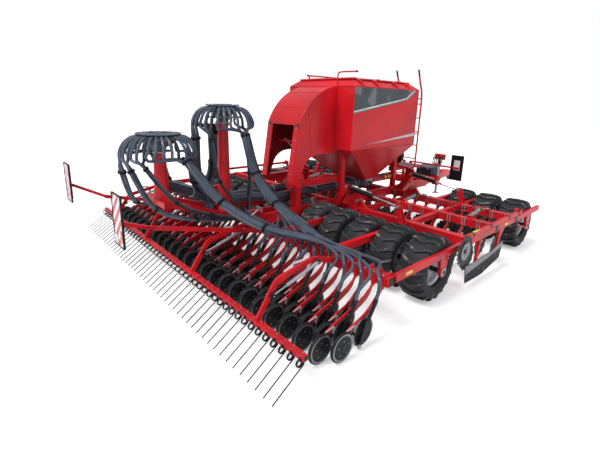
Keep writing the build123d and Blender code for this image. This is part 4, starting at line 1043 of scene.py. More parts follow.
def metering_pieces(sizes):
    """The two metering boxes below the hopper."""
    top, y = 1.0597, 1.70
    shape = Shape()
    shape.block((-.43, y - .1, top - .06), (.43, y + .1, top), 0, .006)
    for s in (-1, 1):
        x0, x1 = sorted((s * .09, s * .43))
        shape.block((x0, y - .13, .905), (x1, y + .13, top - .06), 1, .012)
        shape.lathe([(0, .045), (.004, .050), (.03, .050), (.036, .04), (.036, 0)], (s * .43, y, .955), (s, 0, 0),
                24, 2)
        shape.bar((s * .466, y - .01, .955), (s * .470, y - .10, .955), .008, .02, 3, .002)
        for k in range(4):
            xx = s * (.13 + .085 * k)
            shape.bar((xx, y - .131, .93), (xx, y - .131, 1.0), .02, .006, 0, .002)
            shape.bolt((xx + .03, y - .13, 1.03), (0, -1, 0), .007, .006, 3)
        shape.block((x0 + .02, y - .085, .898), (x1 - .02, y + .085, .906), 2, .003)
        shape.lathe([(-.016, .0755), (-.012, .079), (.012, .079), (.016, .0755)], (s * .24, y - .160, .985),
                (0, 1, 0), 24, 3)
    shape.piece("metering_boxes", ["zinc", "grey", "black", "zinc"], "frame", replaces=["metering_units"])


def duct_paths():
    """The way of the right duct to the front head, and of the left one to the rear head."""
    y0, z = 1.5697, .985
    right = smooth_path([(.24, y0, z), (.24, 1.1, z), (.24, .3, z), (.24, -.36, z), (.215, -.60, z + .004),
            (.10, -.88, z + .014), (.02, -1.08, z + .019), (0, -1.25, z + .02), (0, -1.40, z + .02)], .06)
    left = smooth_path([(-.24, y0, z), (-.24, 1.1, z), (-.24, .3, z), (-.24, -.45, z), (-.235, -.70, z + .002),
            (-.20, -1.15, z + .018), (-.187, -1.40, z + .028),
                        (-.180, -1.66, z + .075), (-.13, -1.90, z + .17), (-.06, -2.18, z + .30), (0, -2.40, 1.38)],
                                .06)
    return right, left


def duct_pieces(sizes):
    """Both air ducts with their clamps."""
    shape = Shape()
    for path in duct_paths():
        shape.tube(path, .0695, 20, 0)
        count = len(path)
        for k in range(2, count - 1, 9):
            way = (path[k + 1] - path[k]).normalized()
            for off in (-.012, .012):
                shape.lathe([(off - .006, .0695), (off - .004, .0735), (off + .004, .0735), (off + .006, .0695)],
                        path[k], way, 20, 1)
            shape.block([c - .012 for c in path[k] + Vector((0, 0, .078))],
                    [c + .012 for c in path[k] + Vector((0, 0, .078))], 1, .003)
    shape.piece("air_ducts", ["pipe", "zinc"], "frame", replaces=["air_pipes"], slot="pipe_black")


def head_pieces(sizes):
    """The two distributor heads with their covers, outlets and ribbed risers."""
    shape = Shape()
    for y, z, r in HEADS.values():
        shape.lathe([(-.0138, r - .004), (-.010, r - .001), (-.003, r - .001), (0, r - .005), (.0, r * .60),
                (.006, r * .56), (.006, .05), (.012, .04), (.012, 0)],
                    (0, y, z - .012), (0, 0, 1), 48, 0)
        ring = [(-.014, r - .004), (-.016, r - .036), (-.030, r - .038), (-.106, r - .040), (-.112, r - .052),
                (-.150, r - .10), (-.20, .105), (-.252, .083), (-.262, .083)]
        shape.lathe(ring, (0, y, z), (0, 0, 1), 40, 0)
        shape.bolts((0, y, z - .012), (0, 0, 1), r - .018, 18, .008, .008, 1)
        for k in range(8):
            angle = 2 * pi * (k + .5) / 8
            shape.bar((.06 * cos(angle), y + .06 * sin(angle), z - .003),
                    (r * .55 * cos(angle), y + r * .55 * sin(angle), z - .003), .012, .006, 0, .002)
        for k in range(24):
            angle = 2 * pi * (k + .5) / 24
            way = Vector((cos(angle), sin(angle), -.04))
            spot = Vector((0, y, z - .058)) + way * (r - .045)
            shape.tube([spot, spot + way * .060], .0215, 8, 2)
            shape.tube([spot + way * .050, spot + way * .060], .0232, 8, 1)
        for k in range(6):
            shape.lathe([(-.004, .080), (0, .088), (.004, .080)], (0, y, z - .20 - .009 * k), (0, 0, 1), 20, 2)
    shape.piece("head_covers", ["grey", "zinc", "black"], "frame", replaces=["distributor_heads"])


# Hose groups of each head: section (-2 ends at the seed bar), first and last angle, straps and count
GROUPS = {
    "rear": [
        (1, -38, 42, [(.52, -2.30, 1.76), (.88, -2.02, 1.26), (1.34, -1.66, .955), (1.85, -1.30, .86)], 8),
        (0, -64, -44, [(.42, -2.80, 1.70), (.58, -2.50, 1.26), (.66, -2.05, 1.03), (.66, -1.55, .90)], 3),
        (0, -92, -72, [(.27, -2.93, 1.66), (.46, -2.72, 1.18), (.60, -2.25, .99), (.56, -1.60, .89)], 3),
        (0, -124, -104, [(.02, -2.96, 1.62), (-.20, -2.74, 1.14), (-.44, -2.25, .98), (-.52, -1.60, .89)], 2),
        (-1, 138, 218, [(-.52, -2.30, 1.76), (-.88, -2.02, 1.26), (-1.34, -1.66, .955), (-1.85, -1.30, .86)], 8),
        (-2, 50, 130, [(0, -1.98, 1.78), (-.08, -1.90, 1.34), (-.20, -1.62, .93)], 4),
    ],
    "front": [
        (1, -40, 46, [(.47, -1.36, 2.06), (.62, -1.28, 1.52), (.98, -1.18, 1.13), (1.60, -1.10, .86)], 8),
        (0, -74, -52, [(.26, -1.80, 2.00), (.34, -1.72, 1.40), (.44, -1.42, .98)], 3),
        (0, -112, -90, [(-.05, -1.88, 2.00), (-.18, -1.78, 1.42), (-.36, -1.44, .98)], 3),
        (-1, 134, 220, [(-.47, -1.36, 2.06), (-.62, -1.28, 1.52), (-.98, -1.18, 1.13), (-1.60, -1.10, .86)], 8),
        (-2, 56, 124, [(0, -1.02, 2.02), (.06, -1.00, 1.40), (.10, -1.06, .92)], 2),
    ],
}
# How far the dome of hoses reaches out, its top below the plate, its drop, and where the hoses lie along the bar
REACH = {"rear": .50, "front": .455}
DOME_TOP, DOME_DROP = .050, .27
LANE = {"rear": -.045, "front": .050}


def packed(k, count, pitch):
    """Place k of count round hoses packed in rows across a strap."""
    across = min(count, 4)
    row, col = divmod(k, across)
    last = min(across, count - row * across)
    return (col - (last - 1) / 2) * pitch, (row - (count - 1) // across / 2) * pitch * .9


def hose_paths(name):
    """Every hose of one head: its section and its path to a coulter's boot or the seed bar."""
    y, z, r = HEADS[name]
    pick = 0 if name == "rear" else 1
    ends = {1: rows(1)[pick::2], -1: rows(-1)[pick::2][::-1], 0: rows(0)[pick::2], -2: []}
    out = []
    for side, start, stop, straps, count in GROUPS[name]:
        for k in range(count):
            angle = radians(start + (stop - start) * k / (count - 1))
            c, sn = cos(angle), sin(angle)
            reach = REACH[name] + .012 * sin(k * 2.7)
            points = []
            for t in (0, .25, .5, .75, 1.0):
                turn = t * pi / 2
                flat = r - .03 + (reach - r + .03) * sin(turn)
                points.append((c * flat, y + sn * flat, z - DOME_TOP - DOME_DROP * (1 - cos(turn))))
            for n, (mx, my, mz) in enumerate(straps):
                ahead = Vector(straps[min(n + 1, len(straps) - 1)]) - Vector(straps[max(n - 1, 0)])
                across = Vector((0, 0, 1)).cross(ahead).normalized()
                up = ahead.cross(across).normalized()
                if side in (0, 1):
                    across = -across
                u, v = packed(k, count, HOSE_PITCH)
                points.append(tuple(Vector((mx, my, mz)) + across * u + up * v))
            if side == -2:
                points.append((points[-1][0], points[-1][1] - .02, .80))
                out.append((0, points))
                continue
            ends_here = ends[side]
            x = ends_here[k] if side else ends_here.pop(-1 if straps[-1][0] > 0 else 0)
            sx = 1 if x > 0 else -1
            away = -1 if x > 0 else 1
            hub = OPENER_Y[row_of(x)]
            if side:
                lane = BAR_Y + LANE[name]
                u, v = packed(k, count, HOSE_PITCH * .8)
                points = points[:5] + [p for p in points[5:] if abs(p[0]) < abs(x) - .16]
                for mx in np.arange(2.15, abs(x) - .18, .3):
                    points.append((sx * mx, lane + u * .6, BUNDLE_Z + .012 + v * .5))
            points.append((x - sx * .09, BAR_Y - .10, .80))
            points += [(x - away * .006, BAR_Y - .18, .74), (x - away * .006, hub + .185, .63),
                    (x - away * .006, hub + .150, .520)]
            out.append((side, points))
    return out


def hose_pieces(sizes):
    """Each head's hoses, with the straps round every group."""
    meshes = {0: Shape(), 1: Shape(), -1: Shape()}
    for name in HEADS:
        for n, (side, points) in enumerate(hose_paths(name)):
            meshes[side].tube(smooth_path(points, .07), sizes.hose, 7, 1 if n % 6 == 4 else 0)
        for side, _, _, straps, count in GROUPS[name]:
            for n, spot in enumerate(straps[:-1]):
                ahead = (Vector(straps[n + 1]) - Vector(straps[max(n - 1, 0)])).normalized()
                across = Vector((0, 0, 1)).cross(ahead).normalized()
                up = ahead.cross(across)
                wide = (min(count, 4) / 2) * HOSE_PITCH + .008
                high = ((count + 3) // 4 / 2) * HOSE_PITCH + .008
                loop = []
                for k in range(17):
                    a = 2 * pi * k / 16
                    u = wide * abs(cos(a)) ** .6 * (1 if cos(a) > 0 else -1)
                    v = high * abs(sin(a)) ** .6 * (1 if sin(a) > 0 else -1)
                    loop.append(Vector(spot) + across * u + up * v)
                strap = meshes[side if side in meshes else 0]
                for off in (-.012, 0, .012):
                    strap.tube([p + ahead * off for p in loop], .0065, 4, 2, caps=False)
    for side, name in ((1, "right"), (-1, "left"), (0, "centre")):
        obj = meshes[side].piece(f"seed_hoses_{name}", ["hose", "hose_dark", "black"], None, slot="hose_rubber")
        if side:
            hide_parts(f"hoses_{name}")
            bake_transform(obj)
        else:
            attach(obj, "frame")
            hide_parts("hoses_centre")


def tower_pieces(sizes):
    """Flanges, clamps, guide rings and straps on the towers and arms."""
    shape = Shape()
    for (y, z, r), foot in ((HEADS["front"], .793), (HEADS["rear"], 1.20)):
        top = z - .262
        shape.lathe([(0, .1055), (top - foot, .0785)], (0, y, foot), (0, 0, 1), 32, 0)
        shape.lathe([(0, .13), (.012, .13), (.014, .106)], (0, y, foot), (0, 0, 1), 32, 0)
        shape.lathe([(-.016, .080), (-.016, .094), (0, .094), (0, .080)], (0, y, top), (0, 0, 1), 28, 1)
        shape.bolts((0, y, foot + .012), (0, 0, 1), .119, 8, .008, .008, 1)
    # Ring with clips that spaces the front head's hoses, and the box beside it
    y, z, r = HEADS["front"]
    ring = [(r * .98 * cos(a), y + r * .98 * sin(a), z - .19) for a in np.linspace(0, 2 * pi, 33)]
    shape.tube(ring, .006, 6, 1)
    for k in range(12):
        a = 2 * pi * k / 12
        shape.block((r * cos(a) - .012, y + r * sin(a) - .012, z - .204),
                (r * cos(a) + .012, y + r * sin(a) + .012, z - .176), 2, .003)
    for k in range(4):
        a = pi / 4 + pi / 2 * k
        shape.bar((.07 * cos(a), y + .07 * sin(a), z - .30), (r * .98 * cos(a), y + r * .98 * sin(a), z - .19),
                .012, .006, 1, .002)
    shape.block((-.26, y - .10, z - .46), (-.13, y + .02, z - .30), 2, .010)
    shape.bar((-.15, y - .04, z - .38), (-.06, y - .02, z - .38), .03, .03, 1)
    # Adjuster posts and the galvanised bracket on the seed bar
    for s in (-1, 1):
        for dx in (0, .085):
            x = s * (.62 + dx)
            shape.bar((x, BAR_Y - .03, BAR_Z + .06), (x, BAR_Y - .08, BAR_Z + .33), .030, .050, 0, .004)
            for k in range(5):
                shape.lathe([(0, .007), (.0012, .0065), (.0014, 0)],
                        (x, BAR_Y - .062 - .008 * k, BAR_Z + .12 + .045 * k), (0, -1, 0), 8, 2)
        shape.block((s * .62 - .03, BAR_Y - .098, BAR_Z + .27), (s * .705 + .03, BAR_Y - .086, BAR_Z + .34), 1,
                .004)
        shape.tube([(s * .66, BAR_Y - .10, BAR_Z + .30), (s * .66, BAR_Y - .42, BAR_Z + .12)], .013, 10, 1)
        # Clamps of the board arms with their bolts
        x = s * .9
        shape.block((x - .05, BAR_Y - .076, BAR_Z - .085), (x + .05, BAR_Y + .076, BAR_Z - .062), 0)
        for dx in (-.036, .036):
            for dy in (-.068, .068):
                shape.tube([(x + dx, BAR_Y + dy, BAR_Z - .098), (x + dx, BAR_Y + dy, BAR_Z + .085)], .008, 6, 1)
    for s in (-1, 1):
        for t in np.linspace(.08, .92, 8):
            y0, z0 = -1.26 + (-2.39 + 1.26) * t, .733 + (1.14 - .733) * t
            shape.lathe([(0, .011), (.0015, .010), (.0016, 0)], (s * .3305, y0, z0), (s, 0, 0), 10, 2)
    shape.piece("tower_fittings", ["red", "zinc", "black"], "frame")


# Boards, markers, guards

def board_pieces(sizes):
    """The four warning boards."""
    shape = Shape()
    w, h, t = BOARD
    for s in (-1, 1):
        for x, y, z, face in ((s * 1.12, -3.37, 1.33, -1), (s * 1.23, 3.80, 1.19, 1)):
            shape.block((x - w / 2 + .008, y - .004, z - h / 2 + .008),
                    (x + w / 2 - .008, y + .004, z + h / 2 - .008), 1, .002)
            yy = y + face * .0045
            shape.block((x - w / 2 + .009, yy, z - h / 2 + .009),
                    (x + w / 2 - .009, yy + face * .0012, z + h / 2 - .009), 0, .0004)
            for a in (-1, 1):
                shape.block((x + a * (w / 2 - .006) - .006, y - t / 2, z - h / 2),
                        (x + a * (w / 2 - .006) + .006, y + t / 2, z + h / 2), 1, .004)
                shape.block((x - w / 2, y - t / 2, z + a * (h / 2 - .006) - .006),
                        (x + w / 2, y + t / 2, z + a * (h / 2 - .006) + .006), 1, .004)
            if face < 0:
                shape.lathe([(0, .030), (.003, .032), (.005, .020), (.006, 0)], (x + s * .085, y - .0056, z - .190),
                        (0, -1, 0), 20, 2)
                shape.lathe([(0, .030), (.003, .032), (.005, .020), (.006, 0)], (x + s * .085, y - .0056, z - .120),
                        (0, -1, 0), 20, 3)
                shape.block((x - s * .13, y - .0105, z - .255), (x - s * .02, y - .0065, z - .165), 4, .001)
            else:
                shape.block((x - .07, y - .0105, z - .06), (x + .07, y - .0050, z + .17), 4, .002)
                shape.lathe([(0, .030), (.006, .032), (.009, .020), (.010, 0)], (x + s * .085, y + .006, z + .20),
                        (0, 1, 0), 20, 4)
    shape.piece("warning_plates", ["warn", "black", "orange", "lamp", "white"], "frame",
            replaces=["warning_boards"], slot="board_plate")


def marker_pieces(sizes):
    """The marker discs and what sits on their arms."""
    for s, name in WINGS:
        near, y, z = s * MARKER_X, MARKER_Y, MARKER_Z
        shape = Shape()
        teeth = 20
        outline, inner = [], []
        for k in range(teeth * 4):
            a = 2 * pi * k / (teeth * 4)
            r = (.2195, .2195, .188, .188)[k % 4]
            outline.append((r * cos(a), r * sin(a)))
            inner.append((.15 * cos(a), .15 * sin(a)))
        n = len(outline)
        points = [(near, y + a, z + b) for a, b in outline] + [(near + s * .006, y + a, z + b) for a, b in outline]
        points += [(near, y + a, z + b) for a, b in inner] + [(near + s * .006, y + a, z + b) for a, b in inner]
        faces = []
        for k in range(n):
            t = (k + 1) % n
            faces += [(k, t, n + t, n + k), (k, 2 * n + k, 2 * n + t, t), (n + k, n + t, 3 * n + t, 3 * n + k)]
        shape.add(points, faces, 0)
        shape.lathe([(s * .006, .15), (s * .008, .145), (s * .010, .135), (s * .020, .125), (s * .026, .110),
                (s * .024, .085), (s * .012, .055), (s * .012, .034), (s * .024, .030), (s * .026, .0145)],
                    (near, y, z), segs=32, marks=[0, 0, 0, 1, 1, 1, 1, 2, 2])
        shape.lathe([(0, .15), (s * -.0004, .10), (s * -.0008, .05), (s * -.001, .0145)], (near, y, z), segs=32,
                mark=0)
        shape.bolts((near + s * .013, y, z), (s, 0, 0), .068, 3, .010, .010, 3, turn=.5)
        shape.piece(f"notched_marker_{name}", ["disc", "edge", "black", "zinc"], f"marker_wheel_{name}",
                replaces=[f"marker_disc_{name}"], slot="disc_steel")
        trim = Shape()
        x = s * 3.05
        for yy in (.62, 1.2, 1.9, 2.30):
            trim.block((x - .0245, yy - .03, .8235), (x + .0245, yy + .03, .8765), 1, .003)
        trim.tube([(x, 2.40, .905), (x, 2.40, .915)], .024, 12, 1)
        trim.block((x - .020, .63, .8755), (x + .020, .80, .8775), 2, .0005)
        trim.piece(f"marker_fittings_{name}", ["red", "black", "yellow"], f"marker_{name}")


def guard_pieces(sizes):
    """Soil guards laid over the wing's plates, with their adjusters and reflectors."""
    for s, name in WINGS:
        shape = Shape()
        outline = [(.718, .058), (.657, .332), (1.50, .3425), (1.99, .4225), (1.932, .148), (1.30, .0385)]
        shape.plate(outline, s * 3.0008, s * 2.9912, 0)
        shape.plate([(.70, .20), (.657, .332), (1.50, .3425), (1.99, .4225), (1.97, .33), (1.50, .27)], s * 3.0022,
                s * 3.0009, 1)
        for y in (.80, 1.10, 1.42, 1.70):
            shape.bolt((s * 3.0022, y, .31), (s, 0, 0), .010, .008, 3)
        for y in (1.02, 1.76):
            for k in range(6):
                shape.lathe([(0, .008), (.0012, .0075), (.0013, 0)],
                        (s * 2.9965, y + .012 + .008 * k, .30 + .055 * k), (s, 0, 0), 8, 4)
            shape.block((s * 2.955, y + .01, .60), (s * 3.0045, y + .10, .66), 2, .004)
            shape.bolt((s * 3.0045, y + .055, .63), (s, 0, 0), .012, .010, 3)
        shape.block((s * 3.0005, 1.95, .685), (s * 3.0035, 2.08, .725), 5, .001)
        shape.block((s * 3.0005, -.92, .685), (s * 3.0035, -.79, .725), 5, .001)
        shape.bar((s * 2.985, 2.62, .57), (s * 2.985, 3.30, .34), .022, .022, 2)
        for y, z in ((2.62, .57), (3.30, .34)):
            shape.bolt((s * 2.99, y, z), (s, 0, 0), .014, .012, 3)
        shape.tube([(s * 2.985, 2.62, .57), (s * 2.985, 2.62, .66)], .010, 8, 2)
        shape.tube([(s * 2.985, 3.30, .34), (s * 2.985, 3.22, .66)], .010, 8, 2)
        shape.piece(f"soil_guard_{name}", ["soil", "edge", "red", "zinc", "black", "yellow"], body_name(s))


# Frame: bolts, cylinders, lines and the drawbar's fittings

def frame_pieces(sizes):
    """Pins, bolts, lines, cylinders and depth stops of the frame and wings."""
    shape = Shape()
    for s in (-1, 1):
        for y in (.70, 2.45):
            for off in (-.062, .062):
                shape.lathe([(-.010, 0), (-.010, .034), (.0, .036), (.008, .036), (.008, 0)],
                        (s * 1.0, y + off, .88), (0, 1 if off > 0 else -1, 0), 20, 1)
        for y in FOLD_Y:
            for off in (-.040, .040):
                shape.lathe([(0, 0), (0, .027), (.010, .027), (.014, .018), (.014, 0)],
                        (s * BARREL_EYE[0], y + off, BARREL_EYE[1]), (0, 1 if off > 0 else -1, 0), 16, 1)
        for x in (.46, .54):
            for y in (.70, 1.64, 2.45, 3.76):
                for dy in (-.075, .075):
                    shape.bolt((s * x, y + dy, .8205), (0, 0, 1), .012, .010, 1)
        # Reflectors along the drawbar and the seat of the parking stand
        for k in range(2):
            y = 4.15 + .75 * k
            x = .400 - (y - 3.76) * (.34 / 2.09) + .052
            shape.bar((s * x, y - .05, .70), (s * (x - .016), y + .05, .70), .004, .045, 3, .001)
        shape.block((s * .9885, -1.22, .64), (s * .9905, -1.10, .71), 2, .001)
    # Flow lines: hydraulic hoses along the beams from the coupler rack to the fold cylinders
    for n in range(5):
        x = -.31 + .026 * n
        line = [(.16 + .02 * n, 5.0, 1.19), (.13, 5.02, 1.02), (.05, 4.95, .84), (-.10 - .01 * n, 4.75, .80),
                (-.24 + .02 * n, 4.3, .785), (x - .10, 3.80, .845), (x - .12, 3.3, .835), (x - .12, 2.7, .835)]
        shape.tube(smooth_path(line + [(x - .12, 1.9, .835), (x - .12, 1.0, .835)] if n < 3 else line, .09), .010,
                6, 2)
    for s in (-1, 1):
        for y in FOLD_Y:
            shape.tube(smooth_path([(s * .44, y + .11, .80), (s * .56, y + .11, .86), (s * .70, y + .08, 1.08),
                    (s * .82, y + .055, 1.19), (s * .90, y + .02, 1.16)], .05), .010, 6, 2)
            shape.tube(smooth_path([(s * .44, y + .15, .80), (s * .58, y + .14, .88), (s * .76, y + .10, 1.12),
                    (s * .90, y + .07, 1.21), (s * 1.02, y + .055, 1.17)], .05), .010, 6, 2)
    for y in (1.0, 1.45, 2.0, 2.95, 3.45):
        shape.block((-.47, y - .012, .820), (-.33, y + .012, .852), 1, .003)
    shape.piece("frame_fittings", ["red", "zinc", "black", "yellow"], "frame")
    for s, name in WINGS:
        trim = Shape()
        body = body_name(s)
        for y in CROSS_Y:
            trim.block((s * 2.9995, y - .055, .645), (s * 3.0015, y + .055, .755), 2, .001)
        for x in (1.5, 2.0):
            trim.block((s * x - .036, 3.6395, .66), (s * x + .036, 3.6415, .74), 2, .001)
        trim.block((s * 2.953, 3.6395, .66), (s * 2.997, 3.6415, .74), 2, .001)
        for y in (.0, FRONT_Y):
            for x in (2.0, 2.975) if y == 0 else (1.5, 2.0, 2.975):
                half = .026 if x != 1.5 else .036
                for way in (-1, 1):
                    trim.lathe([(0, .033), (0, .058), (.008, .058), (.012, .050), (.012, .033)],
                            (s * x + way * (half + .0003 if x < 2.9 else .0205), y, .45), (way, 0, 0), 20, 1)
                for dy in (-.075, .075):
                    for dz in (.69, .74):
                        trim.bolt((s * x + s * (half if x < 2.9 else .0255), y + dy, dz - .06), (s, 0, 0), .011,
                                .010, 1)
        for y in FOLD_Y:
            for off in (-.040, .040):
                trim.lathe([(0, 0), (0, .026), (.010, .026), (.014, .018), (.014, 0)],
                        (s * ROD_EYE[0], y + off, ROD_EYE[1]), (0, 1 if off > 0 else -1, 0), 16, 1)
        # Depth stops with their stacked spacers, and the silver cylinders that set the discs' depth
        for x in (1.32, 2.55):
            trim.tube([(s * x, 1.70, .80), (s * x, 2.00, .84)], .030, 16, 1)
            trim.tube([(s * x, 2.00, .84), (s * x, 2.33, .80)], .014, 12, 4)
            for k in range(5):
                trim.lathe([(-.007, .026), (.007, .026), (.007, .0)], (s * x, 2.06 + .018 * k, .833 - .0012 * k),
                        (0, 1, -.12), 14, 3 if k % 2 else 2)
            for y, z in ((1.68, .795), (2.36, .795)):
                trim.block((s * x - .035, y - .018, .758), (s * x - .022, y + .018, z + .03), 0, .003)
                trim.block((s * x + .022, y - .018, .758), (s * x + .035, y + .018, z + .03), 0, .003)
                trim.tube([(s * x - .042, y, z + .005), (s * x + .042, y, z + .005)], .011, 10, 1)
        line = [(s * 1.06, 2.30, .80), (s * 1.25, 2.20, .79), (s * 1.34, 1.95, .91), (s * 1.33, 1.78, .86)]
        trim.tube(smooth_path(line, .05), .009, 6, 2)
        line = [(s * 1.34, 1.95, .91), (s * 1.8, 2.05, .80), (s * 2.3, 2.02, .80), (s * 2.5, 1.92, .93),
                (s * 2.55, 1.78, .86)]
        trim.tube(smooth_path(line, .06), .009, 6, 2)
        trim.piece(f"wing_fittings_{name}", ["red", "zinc", "black", "yellow", "chrome"], body)
        for kind in ("barrels", "rods"):
            trim = Shape()
            for y in FOLD_Y:
                eye = Vector((s * BARREL_EYE[0], y, BARREL_EYE[1]))
                goal = Vector((s * ROD_EYE[0], y, ROD_EYE[1]))
                unit = (goal - eye).normalized()
                if kind == "barrels":
                    trim.lathe([(.062, .0), (.062, .030), (.068, .0385), (.50, .0385), (.508, .0405), (.556, .0405),
                            (.5605, .034), (.5605, .0205)], eye, unit, 24, 0)
                    trim.lathe([(-.0185, .0175), (-.0185, .034), (-.014, .0375), (.014, .0375), (.0185, .034),
                            (.0185, .0175)], eye, (0, 1, 0), 20, 0)
                    for t in (.10, .52):
                        trim.tube([eye + unit * t + Vector((0, 0, .034)), eye + unit * t + Vector((0, 0, .062))],
                                .010, 8, 1)
                    trim.tube([eye + unit * .10 + Vector((0, 0, .05)), eye + unit * .52 + Vector((0, 0, .05))],
                            .006, 6, 1)
                else:
                    trim.lathe([(.5625, 0), (.5625, .0199), (1.02, .0199), (1.02, 0)], eye, unit, 20, 0)
                    trim.lathe([(1.018, 0), (1.018, .024), (1.038, .024), (1.045, .015), (1.045, 0)], eye, unit, 16,
                            1)
            trim.piece(f"fold_{kind}_skin_{name}", ["black", "zinc"] if kind == "barrels" else ["chrome", "black"],
                    f"{kind}_{name}",
                       replaces=[f"fold_barrels_{name}"] if kind == "barrels" else (),
                               slot="black_parts" if kind == "barrels" else "chrome_rod")


def drawbar_pieces(sizes):
    """Tool case, coupler stand, jack and the tongue's fittings."""
    box = Shape()
    x, y, low, high = .08, 4.6, .7735, 1.013
    box.block((x - .205, y - .186, low), (x + .205, y + .186, high - .035), 0, .014)
    box.block((x - .2098, y - .1898, high - .045), (x + .2098, y + .1898, high - .0005), 1, .014)
    for k in range(4):
        box.bar((x - .14 + .093 * k, y - .16, high - .0012), (x - .14 + .093 * k, y + .16, high - .0012), .020,
                .003, 1, .001)
    for dx in (-.12, .12):
        box.block((x + dx - .018, y - .193, high - .075), (x + dx + .018, y - .184, high - .025), 2, .003)
    box.piece("tool_case", ["black", "grey", "zinc"], "frame", replaces=["toolbox"])
    rack = Shape()
    x, y = .198, 5.0
    rack.block((x - .025, y - .025, .765), (x + .025, y + .025, 1.24), 0, .004)
    rack.block((x - .15, y - .006, 1.15), (x + .15, y + .006, 1.30), 0, .003)
    rack.block((x - .06, y - .05, .765), (x + .06, y + .05, .775), 0, .003)
    for k in range(6):
        xx = x - .122 + .049 * k
        for z in (1.20, 1.262):
            rack.lathe([(0, .0), (0, .016), (.010, .016), (.012, .012), (.034, .012), (.038, .008), (.038, 0)],
                    (xx, y + .0055, z), (0, 1, 0), 12, 1)
            rack.tube([(xx, y - .006, z), (xx, y - .052, z)], .011, 10, 3 if (k + (z > 1.23)) % 3 else 2)
            rack.tube(smooth_path([(xx, y - .05, z), (xx, y - .10, z - .03), (xx * .96, y - .13, z - .16),
                    (.16 + .012 * k, y - .10, .98), (.10 + .012 * k, y - .02, .84),
                    (.02 + .016 * k, y - .22 + .01 * k, .792)], .05), .009, 6, 2)
    rack.piece("coupler_stand", ["red", "zinc", "black", "orange"], "frame", replaces=["coupler_rack"],
            slot="frame_red")
    jack = Shape()
    x, y = .37, 4.63
    jack.lathe([(0, 0), (0, .085), (.004, .090), (.008, .088), (.012, .045), (.03, .034), (.03, 0)], (x, y, .330),
            (0, 0, 1), 28, 1)
    jack.lathe([(.03, .0), (.03, .0290), (.70, .0290), (.72, .022), (.72, 0)], (x, y, .330), (0, 0, 1), 24, 1)
    for k in range(9):
        for way in (-1, 1):
            jack.lathe([(0, .0085), (.0008, .008), (.0009, 0)], (x, y + way * .0288, .42 + .06 * k), (0, way, 0), 8,
                    2)
    jack.piece("jack_tube", ["red", "zinc", "black"], "jack", replaces=["jack_leg"])
    trim = Shape()
    trim.block((x - .045, y - .045, .764), (x + .042, y + .045, .772), 2, .003)
    trim.tube([(x - .10, y, .70), (x + .085, y, .70)], .009, 8, 2)
    trim.lathe([(0, .020), (.004, .022), (.004, .0)], (x + .085, y, .70), (1, 0, 0), 12, 2)
    # Wear ring, bolts of the tongue, and the safety chain's shackle
    for z, way in ((.5255, 1), (.4745, -1)):
        trim.lathe([(0, .0262), (0, .062), (way * .004, .060), (way * .004, .0262)], (0, 6.62, z), (0, 0, 1), 32, 1)
    for k in range(4):
        for s in (-1, 1):
            trim.bolt((s * .110, 5.64 + .07 * k, .695 + (.035 if k % 2 else -.035)), (s, 0, 0), .016, .012, 1)
    trim.tube(smooth_path([(.10, 5.90, .60), (.115, 6.05, .50), (.10, 6.25, .44), (.05, 6.38, .455)], .05), .010, 6,
            2)
    trim.piece("tongue_fittings", ["red", "zinc", "black"], "frame")


# Materials of the parts that the frame model itself shows, and the stage

NODE_FINISH = {
    "hopper": "hopper", "tow_eye": "black", "fold_rods_right": "chrome", "fold_rods_left": "chrome",
    "fold_barrels_right": "black", "fold_barrels_left": "black", "marker_disc_right": "disc",
            "marker_disc_left": "disc",
}


FLOOR_HALF = 60
# Name, turn in degrees, width in degrees and strength of each light
SUNS = (("sun", (34, 8, -28), 24, 2.1), ("fill", (48, 0, 100), 60, 0.55))
# Place in metres, and yaw, pitch and roll in degrees, as the photograph was taken
CAMERA_AT = (5.063, -4.475, 2.575)
CAMERA_TURN = (47.95, 14.15, 1.575)
CAMERA_SHIFT = (0.0057, -0.0498)


def paint_nodes():
    """Gives each node that the frame still shows its finish."""
    for name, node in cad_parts.items():
        if node.hide_render:
            continue
        node.data.materials.clear()
        node.data.materials.append(MATS[NODE_FINISH.get(name, "red")])


